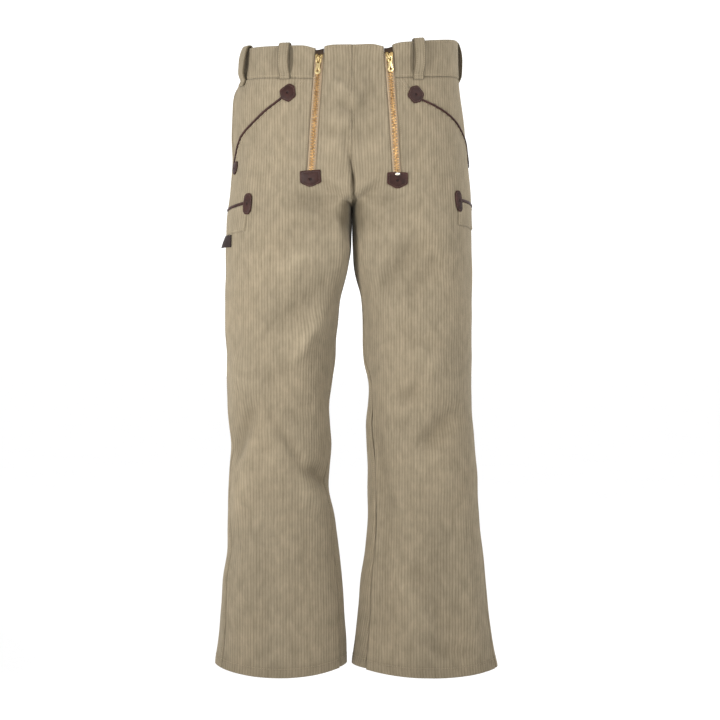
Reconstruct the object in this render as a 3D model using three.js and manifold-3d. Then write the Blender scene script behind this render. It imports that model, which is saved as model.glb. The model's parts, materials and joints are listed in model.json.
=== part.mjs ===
// Work trousers of wide-wale corduroy, filled out as if worn: two bell-bottomed legs, each of a front and a
// back panel, a waistband with six belt loops, two front zips ending in leather tabs, leather-piped slant
// pockets and a small rule pocket on each thigh. Millimetres, +Z up. The front faces -Y, and the wearer's
// left is +X. The origin is the middle of the waistband, where the wearer's hips hold the garment up.
import * as THREE from "three";
import { mergeVertices } from "three/addons/utils/BufferGeometryUtils.js";
import Module from "manifold-3d";

const wasm = await Module();
wasm.setup();

// Driving dimensions
const CLOTH = 2;
const BAND_CLOTH = 3;
const SEAM_GAP = 0.3;
const TOP_LEVEL = 24;
const WAIST_SEAM = -33;
const HIP_LEVEL = -95;
const CROTCH_LEVEL = -250;
const HEM_LEVEL = -1030;
const HEM_TURN_UP = 26;
const HEM_EXTRA = 1.8;
const CELL_ACROSS = 25;
const CELL_DOWN = 24;
const SAMPLES = 48;
const HIP_ROUNDNESS = 2.3;
const LEG_ROUNDNESS = 2.15;
const FRONT_DROP = 13;
const BACK_RISE = 14;
const ZIP_DIP = 6;

// Each leg from the waist down. outer and inner are the distances of the outline from the centre plane,
// front and back the reach of the cloth along Y, inTurn and outTurn how many degrees the seams sit forward
// of the sides, raise the lift of that side of the wearer, and dip how much lower the hem hangs at the
// front.
const legs = {
  left: [
    { level: 40, inner: 0.3, outer: 181, front: -95, back: 102, inTurn: 0, outTurn: 0, raise: 11, dip: 0 },
    { level: 0, inner: 0.3, outer: 182, front: -97, back: 105, inTurn: 0, outTurn: 0, raise: 8, dip: 0 },
    { level: -33, inner: 0.3, outer: 182, front: -101, back: 112, inTurn: 0, outTurn: 0, raise: 3, dip: 0 },
    { level: -58, inner: 0.3, outer: 185, front: -105, back: 121, inTurn: 0, outTurn: 0, raise: 1, dip: 0 },
    { level: -89, inner: 0.3, outer: 190, front: -108, back: 132, inTurn: 0, outTurn: 0, raise: 0, dip: 0 },
    { level: -131, inner: 0.3, outer: 196, front: -111, back: 142, inTurn: 0, outTurn: 0, raise: 0, dip: 0 },
    { level: -172, inner: 0.3, outer: 200, front: -112, back: 146, inTurn: 0, outTurn: 0, raise: 0, dip: 0 },
    { level: -213, inner: 0.3, outer: 203, front: -111, back: 143, inTurn: 0, outTurn: 0, raise: 0, dip: 0 },
    { level: -262, inner: 0.4, outer: 205, front: -109, back: 131, inTurn: 0, outTurn: 0, raise: 0, dip: 0 },
    { level: -327, inner: 2, outer: 206, front: -106, back: 113, inTurn: 3, outTurn: 0, raise: 0, dip: 0 },
    { level: -368, inner: 7, outer: 206, front: -103, back: 105, inTurn: 6, outTurn: 0, raise: 0, dip: 0 },
    { level: -409, inner: 16, outer: 206, front: -100, back: 97, inTurn: 9, outTurn: 0, raise: 0, dip: 0 },
    { level: -461, inner: 19, outer: 206, front: -96, back: 88, inTurn: 13, outTurn: 1, raise: 0, dip: 0 },
    { level: -513, inner: 20, outer: 205, front: -92, back: 80, inTurn: 17, outTurn: 3, raise: 0, dip: 0 },
    { level: -550, inner: 28, outer: 204, front: -89, back: 73, inTurn: 20, outTurn: 4, raise: 0, dip: 0 },
    { level: -585, inner: 28, outer: 205, front: -86, back: 67, inTurn: 23, outTurn: 5, raise: 0, dip: 0 },
    { level: -626, inner: 24, outer: 208, front: -83, back: 62, inTurn: 25, outTurn: 7, raise: 0, dip: 0 },
    { level: -698, inner: 27, outer: 213, front: -79, back: 59, inTurn: 29, outTurn: 10, raise: 0, dip: 0 },
    { level: -781, inner: 27, outer: 218, front: -75, back: 59, inTurn: 32, outTurn: 13, raise: 0, dip: 0 },
    { level: -832, inner: 22, outer: 223, front: -73, back: 60, inTurn: 34, outTurn: 14, raise: 0, dip: 1 },
    { level: -884, inner: 15, outer: 229, front: -71, back: 60, inTurn: 35, outTurn: 16, raise: 0, dip: 4 },
    { level: -936, inner: 11, outer: 234, front: -70, back: 60, inTurn: 36, outTurn: 17, raise: 0, dip: 8 },
    { level: -987, inner: 5, outer: 240, front: -69, back: 61, inTurn: 37, outTurn: 18, raise: -3, dip: 10 },
    { level: -1030, inner: -1, outer: 249, front: -68, back: 61, inTurn: 38, outTurn: 18, raise: -5, dip: 13 },
  ],
  right: [
    { level: 40, inner: 0.3, outer: 187, front: -95, back: 102, inTurn: 0, outTurn: 8, raise: 0, dip: 0 },
    { level: 0, inner: 0.3, outer: 188, front: -97, back: 105, inTurn: 0, outTurn: 8, raise: 0, dip: 0 },
    { level: -33, inner: 0.3, outer: 192, front: -101, back: 112, inTurn: 0, outTurn: 8, raise: 0, dip: 0 },
    { level: -58, inner: 0.3, outer: 203, front: -105, back: 121, inTurn: 0, outTurn: 11, raise: 0, dip: 0 },
    { level: -89, inner: 0.3, outer: 207, front: -108, back: 132, inTurn: 0, outTurn: 14, raise: 0, dip: 0 },
    { level: -131, inner: 0.3, outer: 208, front: -111, back: 142, inTurn: 0, outTurn: 16, raise: 0, dip: 0 },
    { level: -172, inner: 0.3, outer: 207, front: -112, back: 146, inTurn: 0, outTurn: 17, raise: 0, dip: 0 },
    { level: -213, inner: 0.3, outer: 210, front: -111, back: 143, inTurn: 0, outTurn: 17, raise: 0, dip: 0 },
    { level: -262, inner: 0.4, outer: 215, front: -109, back: 131, inTurn: 0, outTurn: 16, raise: 0, dip: 0 },
    { level: -327, inner: 3, outer: 217, front: -107, back: 115, inTurn: 3, outTurn: 14, raise: 0, dip: 0 },
    { level: -368, inner: 10, outer: 217, front: -105, back: 107, inTurn: 5, outTurn: 13, raise: 0, dip: 0 },
    { level: -409, inner: 20, outer: 217, front: -102, back: 100, inTurn: 7, outTurn: 13, raise: 0, dip: 0 },
    { level: -461, inner: 25, outer: 216, front: -98, back: 92, inTurn: 9, outTurn: 13, raise: 0, dip: 0 },
    { level: -513, inner: 29, outer: 214, front: -94, back: 84, inTurn: 11, outTurn: 14, raise: 0, dip: 0 },
    { level: -550, inner: 34, outer: 214, front: -91, back: 77, inTurn: 13, outTurn: 15, raise: 0, dip: 0 },
    { level: -585, inner: 38, outer: 212, front: -88, back: 71, inTurn: 14, outTurn: 16, raise: 0, dip: 0 },
    { level: -626, inner: 37, outer: 209, front: -85, back: 66, inTurn: 15, outTurn: 18, raise: 0, dip: 0 },
    { level: -657, inner: 35, outer: 207, front: -83, back: 64, inTurn: 17, outTurn: 20, raise: 0, dip: 0 },
    { level: -698, inner: 38, outer: 210, front: -82, back: 64, inTurn: 19, outTurn: 22, raise: 0, dip: 0 },
    { level: -735, inner: 38, outer: 211, front: -81, back: 65, inTurn: 21, outTurn: 24, raise: 0, dip: 0 },
    { level: -781, inner: 29, outer: 212, front: -80, back: 67, inTurn: 23, outTurn: 26, raise: 0, dip: 0 },
    { level: -832, inner: 23, outer: 213, front: -79, back: 69, inTurn: 25, outTurn: 27, raise: 0, dip: 1 },
    { level: -884, inner: 17, outer: 221, front: -79, back: 71, inTurn: 26, outTurn: 28, raise: 0, dip: 4 },
    { level: -936, inner: 13, outer: 224, front: -78, back: 73, inTurn: 27, outTurn: 29, raise: 0, dip: 8 },
    { level: -987, inner: 10, outer: 229, front: -78, back: 75, inTurn: 28, outTurn: 30, raise: 0, dip: 12 },
    { level: -1030, inner: 8, outer: 234, front: -78, back: 77, inTurn: 28, outTurn: 30, raise: 0, dip: 13 },
  ],
};

// The largest folds: soft troughs (depth below 0) and ridges, each between two points of the face that it
// lies on. across is the distance from the centre plane, and z the height.
const folds = [
  { leg: "right", face: "front", across0: 27, z0: -265, across1: 95, z1: -238, width: 15, depth: -6 },
  { leg: "right", face: "front", across0: 30, z0: -374, across1: 134, z1: -466, width: 21, depth: -7 },
  { leg: "right", face: "front", across0: 26, z0: -404, across1: 108, z1: -492, width: 22, depth: 4 },
  { leg: "right", face: "front", across0: 202, z0: -506, across1: 184, z1: -560, width: 16, depth: 4 },
  { leg: "right", face: "front", across0: 165, z0: -588, across1: 197, z1: -676, width: 15, depth: -7 },
  { leg: "right", face: "front", across0: 164, z0: -632, across1: 194, z1: -780, width: 15, depth: 4 },
  { leg: "right", face: "front", across0: 82, z0: -684, across1: 38, z1: -726, width: 15, depth: -9 },
  { leg: "right", face: "front", across0: 86, z0: -712, across1: 50, z1: -764, width: 16, depth: 4 },
  { leg: "left", face: "front", across0: 26, z0: -262, across1: 80, z1: -240, width: 15, depth: -4 },
  { leg: "left", face: "front", across0: 110, z0: -316, across1: 48, z1: -402, width: 17, depth: -7 },
  { leg: "left", face: "front", across0: 144, z0: -340, across1: 90, z1: -412, width: 17, depth: -5 },
  { leg: "left", face: "front", across0: 76, z0: -577, across1: 114, z1: -564, width: 15, depth: -5 },
  { leg: "left", face: "front", across0: 176, z0: -596, across1: 116, z1: -656, width: 18, depth: -7 },
  { leg: "left", face: "front", across0: 150, z0: -660, across1: 108, z1: -700, width: 18, depth: 3 },
  { leg: "left", face: "back", across0: 26, z0: -268, across1: 128, z1: -298, width: 17, depth: -6 },
  { leg: "left", face: "back", across0: 46, z0: -336, across1: 160, z1: -380, width: 20, depth: -7 },
  { leg: "left", face: "back", across0: 56, z0: -606, across1: 160, z1: -640, width: 17, depth: -7 },
  { leg: "left", face: "back", across0: 62, z0: -668, across1: 176, z1: -694, width: 18, depth: -6 },
  { leg: "right", face: "back", across0: 28, z0: -272, across1: 134, z1: -296, width: 17, depth: -6 },
  { leg: "right", face: "back", across0: 44, z0: -326, across1: 150, z1: -384, width: 20, depth: -7 },
  { leg: "right", face: "back", across0: 62, z0: -598, across1: 168, z1: -630, width: 17, depth: -7 },
  { leg: "right", face: "back", across0: 64, z0: -676, across1: 170, z1: -704, width: 18, depth: -6 },
];

// Where the trims lie. side is a distance along the cloth, forwards of the side seam, and levels are as in
// the tables.
const zip = {
  top: 57,
  foot: 72,
  start: TOP_LEVEL - 4,
  end: -190,
  slot: 15,
  chain: 7,
  tape: 1.2,
  chainTop: 0.9,
};
const zipPatch = { width: 36, shoulder: 14, length: 27 };
const pocketMouths = {
  left: [
    { level: -33, side: 152 },
    { level: -63, side: 138 },
    { level: -72, side: 128 },
    { level: -82, side: 107 },
    { level: -95, side: 84 },
    { level: -111, side: 61 },
    { level: -130, side: 39 },
    { level: -148, side: 18 },
    { level: -172, side: 3 },
  ],
  right: [
    { level: -33, side: 146 },
    { level: -59, side: 131 },
    { level: -67, side: 123 },
    { level: -88, side: 94 },
    { level: -110, side: 65 },
    { level: -128, side: 41 },
    { level: -139, side: 29 },
    { level: -156, side: 16 },
    { level: -184, side: 3 },
  ],
};
const mouthPatches = {
  left: {
    upper: { side: 137, level: -63, angle: -128 },
    lower: { side: 6, level: -170, angle: -12 },
  },
  right: {
    upper: { side: 131, level: -60, angle: -128 },
    lower: { side: 14, level: -187, angle: -12 },
  },
};
const pocketPatch = { width: 29, shoulder: 13, length: 29 };
const seamPatch = { width: 22, shoulder: 11, length: 22 };
const rulePockets = {
  left: { front: 90, topFront: -246, topBack: -253, bottomFront: -287, bottomBack: -290 },
  right: { front: 78, topFront: -252, topBack: -260, bottomFront: -298, bottomBack: -301 },
};
const rulePatch = { width: 36, shoulder: 12, length: 26 };
const patchWall = { thickness: 1.6, lift: 0.9 };
const pocketWall = { thickness: 1.8, lift: 0.6 };
const pipe = { width: 4.6, height: 2.4, lift: 0.5 };
const loop = {
  width: 19,
  wall: 1.8,
  gap: 9,
  sewn: 9,
  over: 2.2,
  inside: 9,
  insideGap: 1.3,
  footLift: 0.8,
};
const loopPlaces = [
  { name: "front_left", leg: "left", x: 111, foot: -38 },
  { name: "front_right", leg: "right", x: 111, foot: -36 },
  { name: "side_left", leg: "left", side: -26, foot: -46 },
  { name: "side_right", leg: "right", side: 22, foot: -46 },
  { name: "back_left", leg: "left", x: 108, foot: -46, back: true },
  { name: "back_right", leg: "right", x: 112, foot: -46, back: true },
];
const label = { front: 36, back: 15, drop: 21, wall: 1.3 };

// The slider's plate, the arch over it that holds the pull's bar, and the pull with its window and hole.
const slider = {
  level: -1,
  top: 13,
  foot: 9.5,
  height: 17,
  plate: 1.6,
  lift: 1.2,
  archLength: 10,
  archWall: 1,
};
const arch = { width: 2.4, clear: 2.8 };
const pull = {
  wall: 1.3,
  width: 7.6,
  end: 9.6,
  length: 27,
  window: 4.2,
  windowLength: 7.2,
  hole: 1.7,
  barTop: 1.1,
};

const materials = {
  cord: new THREE.MeshStandardMaterial({ color: 0xa2937a, roughness: 0.95, metalness: 0 }),
  leather: new THREE.MeshStandardMaterial({ color: 0x4b3631, roughness: 0.55, metalness: 0 }),
  tape: new THREE.MeshStandardMaterial({ color: 0xc49a68, roughness: 0.8, metalness: 0 }),
  brass: new THREE.MeshStandardMaterial({ color: 0xd9b45a, roughness: 0.3, metalness: 1 }),
};

const mix = (a, b, t) => a + (b - a) * t;
const clamp01 = (t) => Math.min(1, Math.max(0, t));
const ease = (t) => clamp01(t) ** 2 * (3 - 2 * clamp01(t));
const radians = THREE.MathUtils.degToRad;

// A smooth curve through one column of a table whose levels run downwards.
function through(rows, column, level) {
  const last = rows.length - 1;
  if (level >= rows[0].level) return rows[0][column];
  if (level <= rows[last].level) return rows[last][column];
  let i = 0;
  while (level < rows[i + 1].level) i += 1;
  const at = (k) => rows[Math.min(last, Math.max(0, k))];
  const slope = (k) => (at(k + 1)[column] - at(k - 1)[column]) / (at(k + 1).level - at(k - 1).level);
  const span = rows[i + 1].level - rows[i].level;
  const t = (level - rows[i].level) / span;
  const rise = span * (slope(i) * t * (1 - t) ** 2 - slope(i + 1) * t ** 2 * (1 - t));
  return mix(rows[i][column], rows[i + 1][column], ease(t)) + rise;
}

// The sizes of one leg's cross-section at a level, kept once worked out.
const sections = new Map();
function sectionAt(leg, level) {
  const key = `${leg} ${level.toFixed(3)}`;
  if (!sections.has(key)) {
    const size = { level };
    for (const column of ["inner", "outer", "front", "back", "inTurn", "outTurn", "raise", "dip"]) {
      size[column] = through(legs[leg], column, level);
    }
    const turn = clamp01((HIP_LEVEL - level) / (HIP_LEVEL - CROTCH_LEVEL)) * Math.PI * 0.5;
    size.seamParted = 1 - Math.cos(turn);
    size.sideParted = ease((HIP_LEVEL - level) / (HIP_LEVEL - CROTCH_LEVEL + 90));
    const sunk = HIP_LEVEL - (HIP_LEVEL - CROTCH_LEVEL) * Math.sin(turn);
    size.sink = level < HIP_LEVEL && level > CROTCH_LEVEL ? sunk - level : 0;
    size.tilt = ease((level + 220) / 170);
    size.notch = ZIP_DIP * ease((level + 6) / 30);
    sections.set(key, size);
  }
  return sections.get(key);
}

// A point of a rounded box of half sizes a and b, at an angle in degrees from +X.
function round(a, b, angle, roundness) {
  const u = Math.cos(radians(angle));
  const v = Math.sin(radians(angle));
  const k = (Math.abs(u) ** roundness + Math.abs(v) ** roundness) ** (-1 / roundness);
  return { x: a * k * u, y: b * k * v };
}

// The smooth form without folds. s runs from the front seam (0) round the side seam (0.5) to the back seam
// (1). Above the hips a row is half of one hip section, below the crotch it is a whole leg section, and
// between them it parts, sooner at its ends, which sink along the round crotch seam.
function basePoint(leg, s, level) {
  const size = sectionAt(leg, level);
  const front = s <= 0.5;
  const share = front ? 2 * s : 2 * s - 1;
  const seam = -size.outTurn;
  const legAngle = front ? mix(-180 + size.inTurn, seam, share) : mix(seam, 180 + size.inTurn, share);
  const hipAngle = front ? mix(-90, seam, share) : mix(seam, 90, share);
  const middle = (size.inner + size.outer) / 2;
  const depth = (size.back - size.front) / 2;
  const legPoint = round(size.outer - middle, depth, legAngle, LEG_ROUNDNESS);
  const hipPoint = round(size.outer, depth, hipAngle, HIP_ROUNDNESS);
  const ends = Math.abs(2 * s - 1);
  const facing = Math.sin(radians(hipAngle)) ** 2;
  const hang = Math.sin(radians(legAngle)) ** 2 * (legAngle < 0 ? 1 : 0.6);
  const slope = size.tilt * facing * (hipAngle < 0 ? -FRONT_DROP : BACK_RISE);
  const parted = mix(size.sideParted, size.seamParted, ends ** 6);
  const x = mix(hipPoint.x, middle + legPoint.x, parted);
  const y = mix(hipPoint.y, legPoint.y, parted) + (size.front + size.back) / 2;
  const dip = front ? size.notch * Math.exp(-(((x - zip.top) / 15) ** 2)) : 0;
  const z = level + size.sink * ends ** 3 + slope + size.raise * (1 - ends ** 2) - size.dip * hang - dip;
  return new THREE.Vector3(leg === "left" ? x : -x, y, z);
}

// The outward direction of the form, from its slopes along and down the row.
function outward(leg, s, level) {
  const ds = 0.004;
  const along = basePoint(leg, Math.min(1, s + ds), level).sub(basePoint(leg, Math.max(0, s - ds), level));
  const down = basePoint(leg, s, level - 1).sub(basePoint(leg, s, level + 1));
  return (leg === "left" ? down.cross(along) : along.cross(down)).normalize();
}

const faceDirections = {
  front: new THREE.Vector3(0, -1, 0),
  back: new THREE.Vector3(0, 1, 0),
};

// How far the folds move a point of the form along its outward direction.
function foldHeight(leg, point, normal) {
  let height = 0;
  for (const fold of folds) {
    if (fold.leg !== leg) continue;
    const facing = clamp01(1.6 * normal.dot(faceDirections[fold.face]));
    if (facing === 0) continue;
    const across = Math.abs(point.x) - fold.across0;
    const up = point.z - fold.z0;
    const runAcross = fold.across1 - fold.across0;
    const runUp = fold.z1 - fold.z0;
    const length = Math.hypot(runAcross, runUp);
    const along = (across * runAcross + up * runUp) / length;
    const beside = (across * runUp - up * runAcross) / length;
    const middle = (2 * along) / length - 1;
    const taper = Math.exp(-(middle ** 4));
    height += fold.depth * facing * taper * Math.exp(-((beside / fold.width) ** 2));
  }
  return height;
}

// A row's distances along the cloth from the side seam: negative towards the front, positive towards the
// back.
const rowCache = new Map();
function rowAt(leg, level) {
  const key = `${leg} ${level.toFixed(3)}`;
  if (!rowCache.has(key)) {
    const count = 2 * SAMPLES;
    const points = Array.from({ length: count + 1 }, (_, i) => basePoint(leg, i / count, level));
    const reach = new Array(points.length).fill(0);
    for (let i = SAMPLES + 1; i <= count; i += 1) {
      reach[i] = reach[i - 1] + points[i].distanceTo(points[i - 1]);
    }
    for (let i = SAMPLES - 1; i >= 0; i -= 1) {
      reach[i] = reach[i + 1] - points[i].distanceTo(points[i + 1]);
    }
    rowCache.set(key, reach);
  }
  return rowCache.get(key);
}

// The share s of a row at a distance along the cloth from the side seam.
function shareAt(leg, reach, level) {
  const row = rowAt(leg, level);
  let i = 0;
  while (i < row.length - 2 && row[i + 1] < reach) i += 1;
  return (i + (reach - row[i]) / (row[i + 1] - row[i])) / (2 * SAMPLES);
}

// A point on the cloth's outer face, or lifted off it.
function onCloth(leg, reach, level, lift = 0) {
  const s = shareAt(leg, reach, level);
  const point = basePoint(leg, s, level);
  const normal = outward(leg, s, level);
  return point.addScaledVector(normal, foldHeight(leg, point, normal) + lift);
}

const frontEdge = (leg, level) => rowAt(leg, level)[0];
const backEdge = (leg, level) => rowAt(leg, level)[2 * SAMPLES];

// The distance along a row from the side seam at which the form's front or back is x from the centre plane.
function reachAtX(leg, x, level, back = false) {
  let near = back ? 1 : 0;
  let far = 0.5;
  for (let i = 0; i < 40; i += 1) {
    const s = (near + far) / 2;
    if (Math.abs(basePoint(leg, s, level).x) < x) near = s;
    else far = s;
  }
  const row = rowAt(leg, level);
  const place = near * 2 * SAMPLES;
  const i = Math.min(2 * SAMPLES - 1, Math.floor(place));
  return mix(row[i], row[i + 1], place - i);
}

// A flat net of cloth: points given by reach and level, and triangles between them.
class Net {
  constructor() {
    this.points = [];
    this.faces = [];
    this.known = new Map();
  }
  point(reach, level) {
    const key = `${reach.toFixed(3)} ${level.toFixed(3)}`;
    if (!this.known.has(key)) {
      this.known.set(key, this.points.length);
      this.points.push({ reach, level });
    }
    return this.known.get(key);
  }
  // Fills the strip between two rows, each a level and its reaches in rising order.
  strip(upper, lower) {
    const at = (row, k) => this.point(row.reaches[k], row.level);
    const share = (row, k) => {
      const [first, last] = [row.reaches[0], row.reaches[row.reaches.length - 1]];
      return k < row.reaches.length ? (row.reaches[k] - first) / Math.max(1e-6, last - first) : Infinity;
    };
    let i = 0;
    let j = 0;
    while (i < upper.reaches.length - 1 || j < lower.reaches.length - 1) {
      if (share(upper, i + 1) <= share(lower, j + 1)) {
        this.faces.push([at(upper, i), at(lower, j), at(upper, i + 1)]);
        i += 1;
      } else {
        this.faces.push([at(upper, i), at(lower, j), at(lower, j + 1)]);
        j += 1;
      }
    }
  }
}

// Evenly spaced reaches from one end of a span to the other.
function spread(from, to, cell = CELL_ACROSS) {
  const count = Math.max(1, Math.round((to - from) / cell));
  return Array.from({ length: count + 1 }, (_, i) => mix(from, to, i / count));
}

// Levels from top to bottom, evenly spaced, with both ends.
function levels(top, bottom, cell = CELL_DOWN) {
  return spread(bottom, top, cell).reverse();
}

// A closed wall over a net: an outer and an inner face, and an edge all round where a side has one triangle
// only.
function wall(net, outer, inner) {
  const count = net.points.length;
  const places = [...net.points.map(outer), ...net.points.map(inner)];
  const index = [];
  const sides = new Map();
  for (const [a, b, c] of net.faces) {
    index.push(a, b, c, count + c, count + b, count + a);
    for (const [p, q] of [[a, b], [b, c], [c, a]]) {
      if (sides.has(`${q} ${p}`)) sides.delete(`${q} ${p}`);
      else sides.set(`${p} ${q}`, [p, q]);
    }
  }
  for (const [p, q] of sides.values()) index.push(q, p, count + p, q, count + p, count + q);
  return solid(places, index);
}

// A geometry from points and triangles, turned so that its faces point out.
function solid(places, index) {
  let volume = 0;
  for (let i = 0; i < index.length; i += 3) {
    const [a, b, c] = [places[index[i]], places[index[i + 1]], places[index[i + 2]]];
    volume += a.dot(new THREE.Vector3().crossVectors(b, c));
  }
  const turned = volume < 0 ? index.slice().reverse() : index;
  const geometry = new THREE.BufferGeometry().setFromPoints(places).setIndex(turned);
  geometry.computeVertexNormals();
  return geometry;
}

// The wall of a panel whose net lies on a leg: thickness goes inwards, or outwards from a lift off the
// cloth.
function panelWall(leg, net, thickness, lift = 0) {
  const depth = typeof thickness === "function" ? thickness : () => thickness;
  const base = typeof lift === "function" ? lift : () => lift;
  const raised = lift !== 0;
  return wall(
    net,
    (p) => onCloth(leg, p.reach, p.level, raised ? base(p) + depth(p) : 0),
    (p) => onCloth(leg, p.reach, p.level, raised ? base(p) : -depth(p)),
  );
}

const zipX = (level) => mix(zip.top, zip.foot, clamp01((TOP_LEVEL - level) / (TOP_LEVEL - zip.end)));
const zipReach = (leg, level) => reachAtX(leg, zipX(level), level);
const mouthEnd = (leg) => pocketMouths[leg].at(-1).level;
const mouthReach = (leg, level) => -through(pocketMouths[leg], "side", level);

// The rows that a leg's front and back panels share, so that their seams match.
const SEAT_TOP = WAIST_SEAM - SEAM_GAP;
const bandRows = levels(TOP_LEVEL, WAIST_SEAM, 20);
const mouthRows = (leg) => levels(SEAT_TOP, mouthEnd(leg), 20);
const legRows = [...levels(zip.end, HEM_LEVEL + HEM_TURN_UP + 2), HEM_LEVEL + HEM_TURN_UP - 1, HEM_LEVEL];

// The hem is turned up inside, so the wall is thicker there.
const legWall = (p) => (p.level < HEM_LEVEL + HEM_TURN_UP ? CLOTH + HEM_EXTRA : CLOTH);

// A net whose rows each run between two edges given for their level.
function rowNet(rows, from, to, cell = CELL_ACROSS) {
  const net = new Net();
  const row = (level) => ({ level, reaches: spread(from(level), to(level), cell) });
  rows.slice(1).forEach((level, i) => net.strip(row(rows[i]), row(level)));
  return net;
}

// The front panel: from the top edge as the flap, then past the waist seam with a slot for the zip and the
// pocket's curved mouth, then whole down to the hem.
function frontPanel(leg) {
  const net = new Net();
  const centre = (level) => frontEdge(leg, level) + SEAM_GAP / 2;
  const mouth = (level) => mouthReach(leg, level) - SEAM_GAP / 2;
  const side = (level) => (level >= mouthEnd(leg) ? mouth(level) : -SEAM_GAP / 2);
  const flap = (level) => ({ level, reaches: spread(centre(level), zipReach(leg, level) - zip.slot / 2) });
  const beside = (level) => ({ level, reaches: spread(zipReach(leg, level) + zip.slot / 2, side(level)) });
  const whole = (level) => ({ level, reaches: spread(centre(level), side(level)) });
  const stack = (rows) => rows.slice(1).forEach((row, i) => net.strip(rows[i], row));
  const slotRows = [...mouthRows(leg), zip.end];
  stack([...bandRows, ...slotRows].map(flap));
  stack(slotRows.map(beside));
  const joined = { level: zip.end, reaches: [...flap(zip.end).reaches, ...beside(zip.end).reaches] };
  stack([joined, ...legRows.slice(1).map(whole)]);
  return panelWall(leg, net, legWall);
}

// The back panel, from the waist seam to the hem.
function backPanel(leg) {
  const end = (level) => backEdge(leg, level) - SEAM_GAP / 2;
  return panelWall(leg, rowNet([...mouthRows(leg), ...legRows], () => SEAM_GAP / 2, end), legWall);
}

// The pocket's facing: the corner of cloth seen behind the slanting mouth, up to the waist and side seams.
function pocketFacing(leg) {
  const start = (level) => mouthReach(leg, level) + SEAM_GAP / 2;
  return panelWall(leg, rowNet(mouthRows(leg), start, () => -SEAM_GAP / 2), CLOTH);
}

// Half of the waistband, from the zip round the side to the centre back. Its lowest row has the panels' own
// points, so that the waist seam is even.
function waistband(leg) {
  const start = (level) => zipReach(leg, level) + zip.slot / 2;
  const end = (level) => backEdge(leg, level) - SEAM_GAP / 2;
  const net = rowNet(bandRows.slice(0, -1), start, end, 20);
  const level = bandRows.at(-2);
  const mouth = mouthReach(leg, SEAT_TOP);
  const beside = spread(zipReach(leg, SEAT_TOP) + zip.slot / 2, mouth - SEAM_GAP / 2);
  const facing = spread(mouth + SEAM_GAP / 2, -SEAM_GAP / 2).slice(1);
  const behind = spread(SEAM_GAP / 2, end(SEAT_TOP)).slice(1);
  net.strip({ level, reaches: spread(start(level), end(level), 20) }, {
    level: WAIST_SEAM,
    reaches: [...beside, ...facing, ...behind],
  });
  return panelWall(leg, net, (p) => (p.level > WAIST_SEAM ? BAND_CLOTH : CLOTH));
}

// A closed zip between the panels' edges: two tapes as one strip, with the closed chain raised along its
// middle.
function zipStrip(leg) {
  const half = zip.slot / 2 - SEAM_GAP;
  const chain = zip.chain / 2;
  const flat = -0.5;
  const profile = [
    { across: -half, top: flat },
    { across: -chain - 0.4, top: flat },
    { across: -chain, top: zip.chainTop },
    { across: chain, top: zip.chainTop },
    { across: chain + 0.4, top: flat },
    { across: half, top: flat },
  ];
  const net = new Net();
  const rows = levels(zip.start, zip.end + 3, 16);
  const row = (level) => ({ level, reaches: profile.map((p) => p.across) });
  rows.slice(1).forEach((level, i) => net.strip(row(rows[i]), row(level)));
  const topOf = (across) => profile.find((p) => Math.abs(p.across - across) < 1e-6).top;
  const place = (p, lift) => onCloth(leg, zipReach(leg, p.level) + p.reach, p.level, lift);
  return wall(net, (p) => place(p, topOf(p.reach)), (p) => place(p, flat - zip.tape));
}

// A leather tab's outline: a flat side at the top, two short straight sides and a blunt point, turned by an
// angle and centred on its middle.
function shield({ width, shoulder, length }, angle) {
  const half = width / 2;
  const cut = width * 0.1;
  const corners = [
    [-half + cut, 0],
    [half - cut, 0],
    [half, -cut],
    [half, -shoulder],
    [half * 0.84, -shoulder - cut],
    [half * 0.2, -length],
    [-half * 0.2, -length],
    [-half * 0.84, -shoulder - cut],
    [-half, -shoulder],
    [-half, -cut],
  ];
  const turn = radians(angle);
  return corners.map(([x, y]) => ({
    across: x * Math.cos(turn) - (y + length / 2) * Math.sin(turn),
    up: x * Math.sin(turn) + (y + length / 2) * Math.cos(turn),
  }));
}

// A leather tab that lies on the cloth: its outline, one ring inside it and a middle point.
function tab(leg, reach, level, outline, lift = patchWall.lift) {
  const net = new Net();
  const at = (p, share) => net.point(reach + p.across * share, level + p.up * share);
  outline.forEach((p, i) => {
    const q = outline[(i + 1) % outline.length];
    net.faces.push([at(p, 1), at(q, 1), at(p, 0.55)]);
    net.faces.push([at(q, 1), at(q, 0.55), at(p, 0.55)]);
    net.faces.push([at(p, 0.55), at(q, 0.55), at(p, 0)]);
  });
  return panelWall(leg, net, patchWall.thickness, lift);
}

// A half-round leather strip along a line on the cloth, given as reaches and levels.
function piping(leg, line) {
  const half = pipe.width / 2;
  const shoulder = pipe.height * 0.75;
  const section = [
    [-half, pipe.lift],
    [-half * 0.7, shoulder],
    [0, pipe.height],
    [half * 0.7, shoulder],
    [half, pipe.lift],
  ];
  const centres = line.map((p) => onCloth(leg, p.reach, p.level));
  const places = [];
  const index = [];
  const sides = section.length;
  line.forEach((p, i) => {
    const next = centres[Math.min(i + 1, centres.length - 1)];
    const ahead = next.clone().sub(centres[Math.max(i - 1, 0)]).normalize();
    const up = outward(leg, shareAt(leg, p.reach, p.level), p.level);
    const across = new THREE.Vector3().crossVectors(ahead, up).normalize();
    for (const [a, h] of section) {
      places.push(centres[i].clone().addScaledVector(across, a).addScaledVector(up, h));
    }
    if (i === 0) return;
    for (let k = 0; k < sides; k += 1) {
      const [now, then] = [i * sides + k, i * sides + ((k + 1) % sides)];
      const [a, b, c, d] = [now - sides, then - sides, now, then];
      index.push(a, c, b, b, c, d);
    }
  });
  const end = (line.length - 1) * sides;
  for (let k = 1; k < sides - 1; k += 1) {
    index.push(0, k, k + 1);
    index.push(end, end + k + 1, end + k);
  }
  return solid(places, index);
}

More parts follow.
